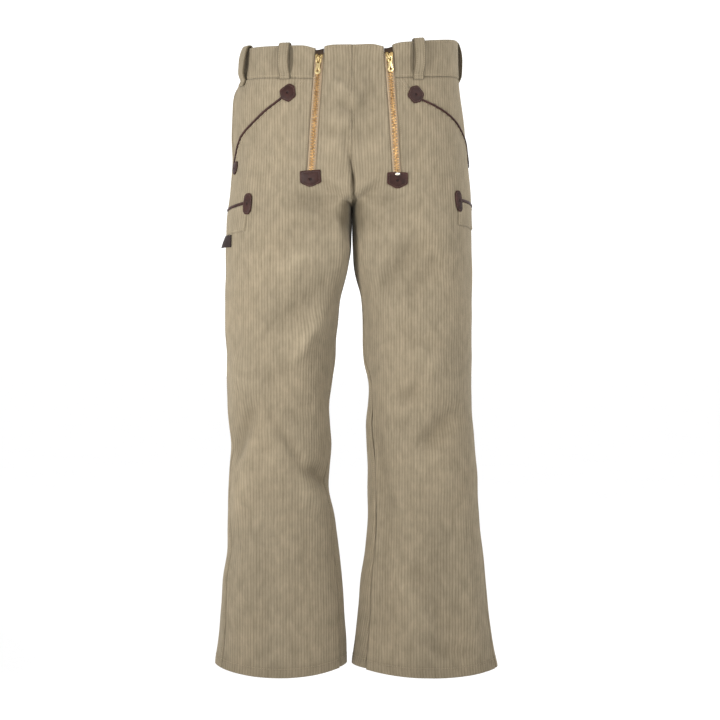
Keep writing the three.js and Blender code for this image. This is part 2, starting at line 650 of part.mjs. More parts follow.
// The line of the pocket's mouth between its two tabs.
function mouthLine(leg) {
  const { upper, lower } = mouthPatches[leg];
  const apart = (p, patch) => Math.hypot(p.reach + patch.side, p.level - patch.level);
  const clearOf = (patch, size) => (p) => apart(p, patch) > size / 2 + 3;
  return levels(upper.level, lower.level, 4)
    .map((level) => ({ reach: mouthReach(leg, level), level }))
    .filter(clearOf(upper, pocketPatch.width))
    .filter(clearOf(lower, seamPatch.width));
}

// The strap of a belt loop: sewn flat below the band, standing off it, and folded over its top edge to the
// inside.
function beltLoop({ leg, x, side, foot, back }) {
  const middle = (level) => (x === undefined ? -side : reachAtX(leg, x, level, back));
  const half = loop.wall / 2;
  const out = loop.gap + half;
  const top = TOP_LEVEL + loop.over + half;
  const inside = -BAND_CLOTH - loop.insideGap - half;
  const path = [
    { level: foot, lift: loop.footLift + half },
    { level: foot + loop.sewn, lift: loop.footLift + half },
    { level: foot + loop.sewn + 7, lift: out - 2 },
    { level: foot + loop.sewn + 15, lift: out },
    { level: TOP_LEVEL - 10, lift: out },
    { level: TOP_LEVEL - 2, lift: out - 1 },
    { level: top - 1, lift: out - 5 },
    { level: top, lift: 1 },
    { level: top - 1, lift: inside + 0.3 },
    { level: TOP_LEVEL - loop.inside, lift: inside },
  ];
  const normals = path.map((p, i) => {
    const before = path[Math.max(0, i - 1)];
    const after = path[Math.min(path.length - 1, i + 1)];
    const run = Math.hypot(after.level - before.level, after.lift - before.lift);
    return { level: -(after.lift - before.lift) / run, lift: (after.level - before.level) / run };
  });
  const net = new Net();
  const row = (i) => ({ level: -i, reaches: [-loop.width / 2, 0, loop.width / 2] });
  path.slice(1).forEach((_, i) => net.strip(row(i), row(i + 1)));
  const at = (p, half) => {
    const i = Math.round(-p.level);
    const level = path[i].level + half * normals[i].level;
    return onCloth(leg, middle(level) + p.reach, level, path[i].lift + half * normals[i].lift);
  };
  return wall(net, (p) => at(p, half), (p) => at(p, -half));
}

// The rule pocket: a low patch of cloth on the thigh, from its front edge back to the side seam.
function rulePocketNet(leg) {
  const { front, topFront, topBack, bottomFront, bottomBack } = rulePockets[leg];
  const net = new Net();
  const reaches = spread(-front, -1, 11);
  const at = (reach, share) => {
    const forwards = -reach / front;
    const top = mix(topBack, topFront, forwards);
    const bottom = mix(bottomBack, bottomFront, forwards);
    return net.point(reach, mix(top, bottom, share));
  };
  const shares = [0, 0.33, 0.67, 1];
  reaches.slice(1).forEach((right, i) => {
    shares.slice(1).forEach((low, k) => {
      const [a, b] = [at(reaches[i], shares[k]), at(right, shares[k])];
      const [c, d] = [at(reaches[i], low), at(right, low)];
      net.faces.push([a, c, b], [b, c, d]);
    });
  });
  return net;
}

// The leather edge along the rule pocket's top, from its tab back to the side seam.
function rulePocketLine(leg) {
  const { front, topFront, topBack } = rulePockets[leg];
  const above = pipe.width / 2 + SEAM_GAP;
  return spread(-front + rulePatch.length / 2 + 1, -1, 8).map((reach) => ({
    reach,
    level: mix(topBack, topFront, -reach / front) + above,
  }));
}

// The rule pocket's tab steps up from the leg onto the pocket.
function rulePatchLift(leg) {
  const { front } = rulePockets[leg];
  const onPocket = pocketWall.lift + pocketWall.thickness + 0.9;
  return (p) => (p.reach > -front - 8 ? onPocket : patchWall.lift + 0.3);
}

// A plain folded label, sewn under the rule pocket by its top edge, its outer corner standing off the leg.
function sideLabel(leg) {
  const { bottomFront } = rulePockets[leg];
  const corners = [
    { reach: -label.front, level: bottomFront - 4, lift: 0.8 },
    { reach: -label.back, level: bottomFront - 4, lift: 0.8 },
    { reach: -label.front - 1, level: bottomFront - 4 - label.drop, lift: 1.4 },
    { reach: -label.back + 4, level: bottomFront - 4 - label.drop, lift: 9 },
  ];
  const net = new Net();
  corners.forEach((corner, i) => net.point(i, 0));
  net.faces.push([0, 2, 1], [1, 2, 3]);
  const place = (p, extra) => {
    const { reach, level, lift } = corners[p.reach];
    return onCloth(leg, reach, level, lift + extra);
  };
  return wall(net, (p) => place(p, label.wall), (p) => place(p, 0));
}

// A group whose X runs across a zip, Y up it and Z outwards.
function zipFrame(leg, level) {
  const at = (height) => onCloth(leg, zipReach(leg, height), height);
  const up = at(level + 4).sub(at(level - 4)).normalize();
  const normal = outward(leg, shareAt(leg, zipReach(leg, level), level), level);
  const across = new THREE.Vector3().crossVectors(up, normal).normalize();
  const out = new THREE.Vector3().crossVectors(across, up);
  const frame = new THREE.Group();
  frame.position.copy(at(level));
  frame.quaternion.setFromRotationMatrix(new THREE.Matrix4().makeBasis(across, up, out));
  return frame;
}

function outline(points) {
  return new THREE.Shape(points.map(([x, y]) => new THREE.Vector2(x, y)));
}

function extrude(shape, depth, curveSegments = 10) {
  return new THREE.ExtrudeGeometry(shape, { depth, bevelEnabled: false, curveSegments });
}

function join(pieces) {
  const made = pieces.map((geometry) => {
    const bare = geometry.clone();
    bare.deleteAttribute("normal");
    bare.deleteAttribute("uv");
    const merged = mergeVertices(bare);
    const vertProperties = new Float32Array(merged.attributes.position.array);
    return new wasm.Manifold(new wasm.Mesh({ numProp: 3, vertProperties, triVerts: merged.index.array }));
  });
  const whole = made.slice(1).reduce((sum, next) => sum.add(next), made[0]).getMesh();
  const geometry = new THREE.BufferGeometry();
  geometry.setAttribute("position", new THREE.BufferAttribute(whole.vertProperties, 3));
  geometry.setIndex(new THREE.BufferAttribute(whole.triVerts, 1));
  geometry.computeVertexNormals();
  return geometry;
}

const plateTop = slider.lift + slider.plate;
const barHeight = plateTop + arch.clear / 2;

// The slider: a tapered plate over the chain, a lip down each side of it, and the arch that holds the pull.
function sliderBody() {
  const { top, foot, height } = slider;
  const cut = 2;
  const plate = outline([
    [-foot / 2 + 1, -height / 2],
    [foot / 2 - 1, -height / 2],
    [foot / 2, -height / 2 + cut],
    [top / 2, height / 2 - 2 * cut],
    [top / 2 - 1, height / 2 - 0.4],
    [1.6, height / 2 - 0.4],
    [0, height / 2 - 2 * cut],
    [-1.6, height / 2 - 0.4],
    [-top / 2 + 1, height / 2 - 0.4],
    [-top / 2, height / 2 - 2 * cut],
    [-foot / 2, -height / 2 + cut],
  ]);
  const lip = (x) => {
    const [left, right, low, high] = [x - 0.45, x + 0.45, -height / 2 + 2, 5];
    const side = outline([
      [left, low],
      [right, low],
      [right, high],
      [left, high],
    ]);
    return extrude(side, 1.6).translate(0, 0, slider.lift - 1.4);
  };
  const reach = slider.archLength / 2;
  const wallTop = arch.clear + slider.archWall;
  const hoop = outline([
    [-reach, -0.3],
    [-reach, wallTop - 1.2],
    [-reach + 1.2, wallTop],
    [reach - 1.2, wallTop],
    [reach, wallTop - 1.2],
    [reach, -0.3],
    [reach - 1.3, -0.3],
    [reach - 1.3, arch.clear],
    [-reach + 1.3, arch.clear],
    [-reach + 1.3, -0.3],
  ]);
  const hoopSolid = extrude(hoop, arch.width).translate(0, 0, -arch.width / 2);
  hoopSolid.rotateX(Math.PI / 2).rotateZ(Math.PI / 2).translate(0, 0, plateTop);
  return join([extrude(plate, slider.plate).translate(0, 0, slider.lift), lip(-4.7), lip(4.7), hoopSolid]);
}

// The pull: a tab that widens downwards, with a window at its head that straddles the arch and a hole near
// its foot. Its own origin is the middle of the bar over the window.
function pullTab() {
  const { width, end, length, window, windowLength, hole, barTop } = pull;
  const tabShape = outline([
    [-width / 2 + 1, barTop],
    [width / 2 - 1, barTop],
    [width / 2, barTop - 1],
    [width / 2 - 0.4, -windowLength - 3],
    [end / 2, -length + 5],
    [end / 2, -length + 1],
    [end / 2 - 1, -length],
    [-end / 2 + 1, -length],
    [-end / 2, -length + 1],
    [-end / 2, -length + 5],
    [-width / 2 + 0.4, -windowLength - 3],
    [-width / 2, barTop - 1],
  ]);
  const bar = pull.wall / 2;
  tabShape.holes.push(
    new THREE.Path([
      new THREE.Vector2(-window / 2, -bar),
      new THREE.Vector2(-window / 2, -windowLength),
      new THREE.Vector2(window / 2, -windowLength),
      new THREE.Vector2(window / 2, -bar),
    ]),
  );
  const eye = new THREE.Path();
  eye.absarc(0, -length + 6.5, hole, 0, Math.PI * 2, false);
  tabShape.holes.push(eye);
  return extrude(tabShape, pull.wall).translate(0, 0, -pull.wall / 2);
}

const trousers = new THREE.Group();
function add(name, geometry, material, parent = trousers) {
  const mesh = new THREE.Mesh(geometry, material);
  mesh.name = name;
  parent.add(mesh);
  return mesh;
}

for (const leg of ["left", "right"]) {
  add(`front_${leg}`, frontPanel(leg), materials.cord);
  add(`back_${leg}`, backPanel(leg), materials.cord);
  add(`pocket_facing_${leg}`, pocketFacing(leg), materials.cord);
  add(`waistband_${leg}`, waistband(leg), materials.cord);
  const rulePocket = panelWall(leg, rulePocketNet(leg), pocketWall.thickness, pocketWall.lift);
  add(`rule_pocket_${leg}`, rulePocket, materials.cord);

  add(`zip_${leg}`, zipStrip(leg), materials.tape);
  const patchMiddle = zip.end + 2.5 - zipPatch.length / 2;
  const zipTab = tab(leg, zipReach(leg, zip.end), patchMiddle, shield(zipPatch, 0));
  add(`zip_end_patch_${leg}`, zipTab, materials.leather);

  const { upper, lower } = mouthPatches[leg];
  const upperTab = tab(leg, -upper.side, upper.level, shield(pocketPatch, upper.angle));
  const lowerTab = tab(leg, -lower.side, lower.level, shield(seamPatch, lower.angle));
  add(`pocket_patch_upper_${leg}`, upperTab, materials.leather);
  add(`pocket_patch_lower_${leg}`, lowerTab, materials.leather);
  add(`pocket_piping_${leg}`, piping(leg, mouthLine(leg)), materials.leather);

  const { front, topFront } = rulePockets[leg];
  const ruleTab = tab(leg, -front, topFront, shield(rulePatch, -90), rulePatchLift(leg));
  add(`rule_pocket_patch_${leg}`, ruleTab, materials.leather);
  add(`rule_pocket_piping_${leg}`, piping(leg, rulePocketLine(leg)), materials.leather);

  const frame = zipFrame(leg, slider.level);
  trousers.add(frame);
  add(`zip_slider_${leg}`, sliderBody(), materials.brass, frame);
  add(`zip_pull_${leg}`, pullTab(), materials.brass, frame).position.set(0, 0, barHeight);
}
for (const place of loopPlaces) add(`belt_loop_${place.name}`, beltLoop(place), materials.cord);
add("side_label", sideLabel("right"), materials.leather);

export default trousers;
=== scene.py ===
# %% [markdown]
# # Corduroy work trousers
# The imported model gives the plain solids: walls of cloth, tabs, zips. Here every one of them is dressed, in
# the same frame and at the same size. We start by loading that frame.

# %% Load the frame
import json
import math

import bpy
import numpy as np
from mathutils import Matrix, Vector


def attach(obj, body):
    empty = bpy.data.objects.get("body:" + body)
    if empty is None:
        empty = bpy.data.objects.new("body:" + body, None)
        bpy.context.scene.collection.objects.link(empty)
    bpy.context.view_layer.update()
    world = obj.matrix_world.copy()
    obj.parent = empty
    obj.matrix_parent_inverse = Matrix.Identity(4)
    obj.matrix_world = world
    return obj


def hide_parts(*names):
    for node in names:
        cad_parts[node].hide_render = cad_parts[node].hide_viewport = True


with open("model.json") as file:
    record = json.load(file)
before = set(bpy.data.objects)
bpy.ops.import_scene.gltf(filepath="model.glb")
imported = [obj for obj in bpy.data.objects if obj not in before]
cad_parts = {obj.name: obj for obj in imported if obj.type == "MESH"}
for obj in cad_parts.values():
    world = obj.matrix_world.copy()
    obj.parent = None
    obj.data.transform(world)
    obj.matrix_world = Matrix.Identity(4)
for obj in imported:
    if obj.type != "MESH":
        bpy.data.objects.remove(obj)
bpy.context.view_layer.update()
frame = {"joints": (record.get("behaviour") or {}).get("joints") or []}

MM = 0.001

# %% [markdown]
# ## The form of the legs
# A pair of trousers is a tube that parts into two. A table for each leg gives, at some levels, how far the
# cloth reaches to the sides, to the front and to the back, and a smooth curve runs through each column. It
# could be sculpted instead, but a formula can say where any point of the cloth is, so that seams, pockets and
# stitches all find the same surface. All the numbers in this script's tables are millimetres.

# %% Sizes and the two leg tables
CLOTH = 2.0
BAND_CLOTH = 3.0
SEAM_GAP = 0.3
TOP_LEVEL = 24
WAIST_SEAM = -33
HIP_LEVEL = -95
CROTCH_LEVEL = -250
HEM_LEVEL = -1030
HEM_TURN_UP = 26
HEM_EXTRA = 1.8
HIP_ROUNDNESS = 2.3
LEG_ROUNDNESS = 2.15
RISE_ROUNDNESS = 3.4
CROTCH_FULLNESS = {"left": 1.7, "right": 7.0}
FRONT_PARTS_LATER = {"left": -10, "right": -65}
FRONT_HELD = 2.5
ZIP_SHIFT = {"left": 3.5, "right": -4.5}
FRONT_DROP = 13
BACK_RISE = 14
ZIP_DIP = 6
SIDE = {"left": 1, "right": -1}

COLUMNS = ("level", "inner", "outer", "front", "back", "in_turn", "out_turn", "raise", "dip")
LEG_TABLES = {
    "left": [
        (40, 0.3, 181, -95, 102, 0, 0, 11, 0),
        (0, 0.3, 182, -97, 105, 0, 0, 8, 0),
        (-33, 0.3, 182, -101, 112, 0, 0, 3, 0),
        (-58, 0.3, 185, -105, 121, 0, 0, 1, 0),
        (-89, 0.3, 190, -108, 132, 0, 0, 0, 0),
        (-131, 0.3, 196, -111, 142, 0, 0, 0, 0),
        (-172, 0.3, 200, -112, 146, 0, 0, 0, 0),
        (-213, 0.3, 203, -111, 143, 0, 0, 0, 0),
        (-262, 0.3, 205, -109, 131, 0, 0, 0, 0),
        (-288, 0.6, 205.5, -108, 124, 1, 0, 0, 0),
        (-327, 2, 206, -106, 113, 3, 0, 0, 0),
        (-368, 7, 206, -103, 105, 6, 0, 0, 0),
        (-409, 16, 206, -100, 97, 9, 0, 0, 0),
        (-461, 19, 206, -96, 88, 13, 1, 0, 0),
        (-513, 20, 205, -92, 80, 17, 3, 0, 0),
        (-550, 28, 204, -89, 73, 20, 4, 0, 0),
        (-585, 28, 205, -86, 67, 23, 5, 0, 0),
        (-626, 24, 208, -83, 62, 25, 7, 0, 0),
        (-698, 27, 213, -79, 59, 29, 10, 0, 0),
        (-781, 27, 218, -75, 59, 32, 13, 0, 0),
        (-832, 22, 223, -73, 60, 34, 14, 0, 1),
        (-884, 15, 229, -71, 60, 35, 16, 0, 4),
        (-936, 11, 234, -70, 60, 36, 17, 0, 8),
        (-987, 5, 240, -69, 61, 37, 18, -3, 10),
        (-1030, -1, 249, -68, 61, 38, 18, -5, 13),
    ],
    "right": [
        (40, 0.3, 187, -95, 102, 0, 8, -7, 0),
        (0, 0.3, 188, -97, 105, 0, 8, -5, 0),
        (-33, 0.3, 192, -101, 112, 0, 8, -1, 0),
        (-58, 0.3, 203, -105, 121, 0, 11, 0, 0),
        (-89, 0.3, 207, -108, 132, 0, 14, 0, 0),
        (-131, 0.3, 208, -111, 142, 0, 16, 0, 0),
        (-172, 0.3, 207, -112, 146, 0, 17, 0, 0),
        (-213, 0.3, 210, -111, 143, 0, 17, 0, 0),
        (-262, 0.3, 215, -109, 131, 0, 16, 0, 0),
        (-288, 0.6, 216, -108, 125, 1, 15, 0, 0),
        (-327, 3, 217, -107, 115, 3, 14, 0, 0),
        (-368, 10, 217, -105, 107, 5, 13, 0, 0),
        (-409, 20, 217, -102, 100, 7, 13, 0, 0),
        (-461, 25, 216, -98, 92, 9, 13, 0, 0),
        (-513, 29, 214, -94, 84, 11, 14, 0, 0),
        (-550, 34, 214, -91, 77, 13, 15, 0, 0),
        (-585, 38, 212, -88, 71, 14, 16, 0, 0),
        (-626, 37, 209, -85, 66, 15, 18, 0, 0),
        (-657, 35, 207, -83, 64, 17, 20, 0, 0),
        (-698, 38, 210, -82, 64, 19, 22, 0, 0),
        (-735, 38, 211, -81, 65, 21, 24, 0, 0),
        (-781, 29, 212, -80, 67, 23, 26, 0, 0),
        (-832, 23, 213, -79, 69, 25, 27, 0, 1),
        (-884, 17, 221, -79, 71, 26, 28, 0, 4),
        (-936, 13, 224, -78, 73, 27, 29, 0, 8),
        (-987, 10, 229, -78, 75, 28, 30, 0, 12),
        (-1030, 8, 234, -78, 77, 28, 30, 0, 13),
    ],
}
print("leg sections:", {leg: len(rows) for leg, rows in LEG_TABLES.items()})


# %% Small curve helpers
def mix(a, b, t):
    return a + (b - a) * t


def ease(t):
    t = np.clip(t, 0, 1)
    return t * t * (3 - 2 * t)


def bump(distance, width):
    """A soft hill, 1 at no distance and almost 0 beyond twice its width."""
    return np.exp(-((distance / width) ** 2))


def unit(direction):
    return direction / np.linalg.norm(direction, axis=-1, keepdims=True)


def through(levels, values, at):
    """A smooth curve through values whose levels run downwards."""
    levels, values = np.array(levels, float), np.array(values, float)
    at = np.clip(at, levels[-1], levels[0])
    i = np.clip(np.searchsorted(-levels, -at, side="right") - 1, 0, len(levels) - 2)
    long_levels = np.concatenate([levels[:1], levels, levels[-1:]])
    long_values = np.concatenate([values[:1], values, values[-1:]])
    slope = (long_values[2:] - long_values[:-2]) / (long_levels[2:] - long_levels[:-2])
    span = levels[i + 1] - levels[i]
    t = (at - levels[i]) / span
    rise = span * (slope[i] * t * (1 - t) ** 2 - slope[i + 1] * t**2 * (1 - t))
    return mix(values[i], values[i + 1], ease(t)) + rise


ZIP_TOP_X = 57
ZIP_FOOT_X = 72
ZIP_END = -190
ZIP_SLOT = 15


# %% The smooth form, before any fold
def rounded_box(a, b, angle, roundness):
    """A point of a rounded box of half sizes a and b, at an angle in degrees."""
    u, v = np.cos(np.radians(angle)), np.sin(np.radians(angle))
    k = (np.abs(u) ** roundness + np.abs(v) ** roundness) ** (-1 / roundness)
    return a * k * u, b * k * v


def form_point(leg, s, level):
    """Points of the form. s runs from the front seam (0) round the side (0.5) to the back seam (1)."""
    s, level = np.broadcast_arrays(np.asarray(s, float), np.asarray(level, float))
    rows = np.array(LEG_TABLES[leg], float)
    size = {name: through(rows[:, 0], rows[:, k], level) for k, name in enumerate(COLUMNS) if k}
    turn = np.clip((HIP_LEVEL - level) / (HIP_LEVEL - CROTCH_LEVEL), 0, 1) * math.pi / 2
    front = s <= 0.5
    ends = np.abs(2 * s - 1)
    begins = HIP_LEVEL + np.where(front, FRONT_PARTS_LATER[leg] * ease(ends * 1.6), 0)
    side_parted = ease((begins - level) / (begins - CROTCH_LEVEL + 90))
    kept, gone = rounded_box(1.0, 1.0, np.degrees(turn), np.where(front, RISE_ROUNDNESS, 2.0))
    sunk = HIP_LEVEL - (HIP_LEVEL - CROTCH_LEVEL) * gone
    sink = np.where((level < HIP_LEVEL) & (level > CROTCH_LEVEL), sunk - level, 0)
    share = np.where(front, 2 * s, 2 * s - 1)
    seam = -size["out_turn"]
    leg_front = mix(size["in_turn"] - 180, seam, share)
    leg_back = mix(seam, 180 + size["in_turn"], share)
    leg_angle = np.where(front, leg_front, leg_back)
    hip_angle = np.where(front, mix(-90, seam, share), mix(seam, 90, share))
    middle = (size["inner"] + size["outer"]) / 2
    depth = (size["back"] - size["front"]) / 2
    full = np.where(front & (leg_angle < -90), ease((level + 450) / 170), 0)
    roundness = LEG_ROUNDNESS + CROTCH_FULLNESS[leg] * full
    leg_x, leg_y = rounded_box(size["outer"] - middle, depth, leg_angle, roundness)
    hip_x, hip_y = rounded_box(size["outer"], depth, hip_angle, HIP_ROUNDNESS)
    facing = np.sin(np.radians(hip_angle)) ** 2
    hang = np.sin(np.radians(leg_angle)) ** 2 * np.where(leg_angle < 0, 1, 0.6)
    slope = ease((level + 220) / 170) * facing * np.where(hip_angle < 0, -FRONT_DROP, BACK_RISE)
    parted = mix(side_parted, 1 - kept, ends ** np.where(front, 12, 6))
    x = mix(hip_x, middle + leg_x, parted)
    held = np.where(front, 1 + FRONT_HELD * ease((ends - 0.55) / 0.3), 1)
    y = mix(hip_y, leg_y, parted**held) + (size["front"] + size["back"]) / 2
    notch = np.where(front, ZIP_DIP * ease((level + 6) / 30) * bump(x - ZIP_TOP_X, 15), 0)
    z = level + sink * ends**3 + slope + size["raise"] * (1 - ends**2) ** 1.7 - size["dip"] * hang - notch
    return np.stack([SIDE[leg] * x, y, z], -1)


def outward(leg, s, level):
    """The form's outward direction, from its slopes along and down the row."""
    step = 0.004
    along = form_point(leg, np.minimum(1, s + step), level) - form_point(leg, np.maximum(0, s - step), level)
    down = form_point(leg, s, level - 1) - form_point(leg, s, level + 1)
    return unit(SIDE[leg] * np.cross(down, along))


# %% [markdown]
# ## Folds
# Worn corduroy creases where the leg bends: fans from the crotch, pulls behind the knee, soft waves in the
# bell. Each row below is one fold between two points of a face, a trough where its depth is below 0. A cloth
# simulation could make creases of its own, but not these ones: the places are given one by one.

# %% The fold table
# A row holds: leg, face, the first point's distance from the centre plane and height, the second point's,
# width and depth.
FOLD_SCALE = 1.45
FINE_FOLD_SCALE = 1.8
FOLDS = [
    ("right", "front", 27, -265, 95, -238, 15, -6),
    ("right", "front", 30, -374, 134, -466, 21, -5),
    ("right", "front", 26, -404, 108, -492, 22, 4),
    ("right", "front", 202, -506, 184, -560, 16, 4),
    ("right", "front", 165, -588, 197, -676, 15, -7),
    ("right", "front", 164, -632, 194, -780, 15, 4),
    ("right", "front", 68, -688, 34, -730, 11, -7),
    ("right", "front", 86, -712, 50, -764, 16, 4),
    ("right", "front", 98, -518, 50, -434, 13, 5),
    ("right", "front", 112, -378, 70, -334, 17, 4),
    ("right", "front", 140, -596, 66, -712, 9, -4),
    ("left", "front", 70, -864, 132, -970, 13, 4),
    ("left", "front", 104, -858, 124, -896, 11, -4),
    ("left", "front", 110, -490, 146, -532, 17, 4),
    ("left", "front", 34, -590, 62, -790, 13, -4),
    ("left", "front", 128, -994, 204, -1008, 13, -3),
    ("left", "front", 26, -262, 80, -240, 15, -4),
    ("left", "front", 110, -316, 48, -402, 17, -7),
    ("left", "front", 144, -340, 90, -412, 17, -5),
    ("left", "front", 76, -577, 114, -564, 15, -5),
    ("left", "front", 176, -596, 116, -656, 18, -7),
    ("left", "front", 150, -660, 108, -700, 18, 3),
    ("left", "back", 26, -268, 128, -298, 17, -6),
    ("left", "back", 46, -336, 160, -380, 20, -7),
    ("left", "back", 56, -606, 160, -640, 17, -7),
    ("left", "back", 62, -668, 176, -694, 18, -6),
    ("right", "back", 28, -272, 134, -296, 17, -6),
    ("right", "back", 44, -326, 150, -384, 20, -7),
    ("right", "back", 62, -598, 168, -630, 17, -7),
    ("right", "back", 64, -676, 170, -704, 18, -6),
]
FINE_FOLDS = [
    ("right", "front", 20, -240, 52, -214, 8, -2.2),
    ("right", "front", 34, -292, 104, -284, 12, -2.4),
    ("right", "front", 52, -330, 118, -356, 13, 2.0),
    ("right", "front", 96, -520, 150, -560, 15, -2.2),
    ("right", "front", 64, -590, 108, -606, 12, -2.0),
    ("right", "front", 110, -655, 142, -700, 14, 1.8),
    ("right", "front", 78, -800, 62, -930, 16, -1.1),
    ("right", "front", 112, -770, 118, -1010, 19, 0.9),
    ("right", "front", 146, -820, 152, -1016, 15, -1.2),
    ("right", "front", 182, -800, 196, -1010, 16, 1.0),
    ("left", "front", 20, -246, 46, -220, 8, -2.0),
    ("left", "front", 30, -288, 92, -272, 12, -2.0),
    ("left", "front", 92, -470, 138, -500, 15, -2.2),
    ("left", "front", 168, -690, 150, -750, 15, 2.0),
    ("left", "front", 60, -640, 96, -620, 12, -1.8),
    ("left", "front", 66, -770, 50, -980, 17, -1.4),
    ("left", "front", 102, -760, 98, -1006, 18, 0.9),
    ("left", "front", 140, -800, 150, -1012, 16, -1.2),
    ("left", "front", 184, -770, 204, -1010, 17, 2.2),
    ("left", "back", 40, -300, 90, -330, 11, 2.4),
    ("left", "back", 70, -410, 150, -440, 15, -2.6),
    ("left", "back", 74, -560, 140, -578, 12, -2.6),
    ("left", "back", 90, -636, 150, -660, 11, 2.2),
    ("left", "back", 80, -740, 74, -980, 18, -2.4),
    ("left", "back", 130, -760, 140, -1004, 18, 2.2),
    ("left", "back", 178, -800, 190, -1010, 16, -2.2),
    ("right", "back", 44, -298, 100, -326, 11, 2.4),
    ("right", "back", 80, -420, 160, -446, 15, -2.6),
    ("right", "back", 76, -552, 150, -574, 12, -2.6),
    ("right", "back", 84, -640, 158, -664, 11, 2.2),
    ("right", "back", 76, -760, 66, -990, 18, -2.4),
    ("right", "back", 122, -740, 130, -1000, 18, 2.2),
    ("right", "back", 170, -790, 182, -1006, 16, -2.2),
]
# The flap's folds cross its centre seam, so their places count from it, below 0 on the wearer's right.
ACROSS_THE_FLAP = [
    (-34, -49, 16, -84, 9, 2.6),
    (-40, -82, 12, -102, 7, -2.4),
    (-46, -116, 6, -122, 8, 2.6),
    (-42, -137, 0, -134, 6, -2.2),
    (-40, -152, -6, -148, 6, 2.0),
    (30, -60, 8, -112, 8, -1.6),
    (14, -128, 44, -104, 8, 1.6),
    (-13, -142, -4, -180, 6.0, -1.8),
    (-4, -168, 3, -218, 3.0, -3.8),
    (32, -36, 24, -152, 15, -2.6),
    (-24, -50, -22, -150, 14, 1.6),
    (2, -204, 6, -268, 3.4, -4.4),
]
for x0, z0, x1, z1, width, depth in ACROSS_THE_FLAP:
    FINE_FOLDS.append(("left", "front", x0, z0, x1, z1, width, depth))
    FINE_FOLDS.append(("right", "front", -x0, z0, -x1, z1, width, depth))
FACE_Y = {"front": -1, "back": 1}
print("folds:", len(FOLDS), "large and", len(FINE_FOLDS), "fine")


# %% Folds as heights over the form
def fold_height(leg, point, normal, folds):
    height = np.zeros(point.shape[:-1])
    for owner, face, across0, z0, across1, z1, width, depth in folds:
        if owner != leg:
            continue
        facing = np.clip(1.6 * normal[..., 1] * FACE_Y[face], 0, 1)
        across = SIDE[leg] * point[..., 0] - across0
        up = point[..., 2] - z0
        length = math.hypot(across1 - across0, z1 - z0)
        along = (across * (across1 - across0) + up * (z1 - z0)) / length
        beside = (across * (z1 - z0) - up * (across1 - across0)) / length
        height += depth * facing * np.exp(-((2 * along / length - 1) ** 4)) * bump(beside, width)
    return height


def apart(leg, normal, level):
    """0 where the cloth of both legs meets on the centre plane above the crotch, and 1 elsewhere."""
    inwards = np.clip(-SIDE[leg] * normal[..., 0] * 1.5 - 0.4, 0, 1)
    return 1 - inwards * ease((level - CROTCH_LEVEL + 70) / 40)


def softness(leg, reach, level):
    """Slow unevenness of about a millimetre, as cloth on a soft body has."""
    shift = 0 if leg == "left" else 40
    wave = np.sin(reach / 31 + 1.7 * np.sin(level / 57 + shift))
    wave = wave * np.sin(level / 43 + 1.3 * np.sin(reach / 47))
    fine = np.sin(reach / 13 + level / 29 + shift) * np.sin(level / 17 - reach / 23)
    return wave + 0.45 * fine


# %% [markdown]
# ## Places on the cloth
# A tailor measures along the cloth, not through the air. `reach` is the distance along a row from the side
# seam, negative towards the front. A table of arc lengths turns it back into a place on the form.

# %% From a distance along the cloth to a point in space
ROW_SAMPLES = 96
LEVEL_STEP = 2.0
BATCH = 20000
HALVINGS = 30
TABLE_LEVELS = np.arange(40, HEM_LEVEL - 6, -LEVEL_STEP)


def arc_table(leg):
    s = np.linspace(0, 1, ROW_SAMPLES + 1)
    points = form_point(leg, s[None, :], TABLE_LEVELS[:, None])
    steps = np.linalg.norm(np.diff(points, axis=1), axis=2)
    reach = np.concatenate([np.zeros((len(points), 1)), np.cumsum(steps, axis=1)], axis=1)
    return reach - reach[:, ROW_SAMPLES // 2, None]


ARCS = {leg: arc_table(leg) for leg in SIDE}


def level_row(leg, level):
    place = np.clip((TABLE_LEVELS[0] - level) / LEVEL_STEP, 0, len(TABLE_LEVELS) - 1.001)
    i = place.astype(int)
    return mix(ARCS[leg][i], ARCS[leg][i + 1], (place - i)[:, None])


def share_at(leg, reach, level):
    """The share s of a row at a distance along the cloth from the side seam."""
    made = []
    for start in range(0, len(reach), BATCH):
        part = reach[start : start + BATCH]
        row = level_row(leg, level[start : start + BATCH])
        k = np.clip((row < part[:, None]).sum(1) - 1, 0, ROW_SAMPLES - 1)
        low = np.take_along_axis(row, k[:, None], 1)[:, 0]
        high = np.take_along_axis(row, k[:, None] + 1, 1)[:, 0]
        made.append((k + (part - low) / (high - low)) / ROW_SAMPLES)
    return np.clip(np.concatenate(made), 0, 1)


def on_cloth(leg, reach, level):
    """Points of the folded cloth's outer face and its outward directions."""
    reach, level = (np.asarray(a, float).ravel() for a in np.broadcast_arrays(reach, level))
    s = share_at(leg, reach, level)
    point = form_point(leg, s, level)
    normal = outward(leg, s, level)
    height = FOLD_SCALE * fold_height(leg, point, normal, FOLDS)
    height = height + FINE_FOLD_SCALE * fold_height(leg, point, normal, FINE_FOLDS)
    height = (height + softness(leg, reach, level)) * apart(leg, normal, level)
    return point + normal * height[:, None], normal


def front_edge(leg, level):
    return np.interp(-np.asarray(level, float), -TABLE_LEVELS, ARCS[leg][:, 0])


def back_edge(leg, level):
    return np.interp(-np.asarray(level, float), -TABLE_LEVELS, ARCS[leg][:, -1])


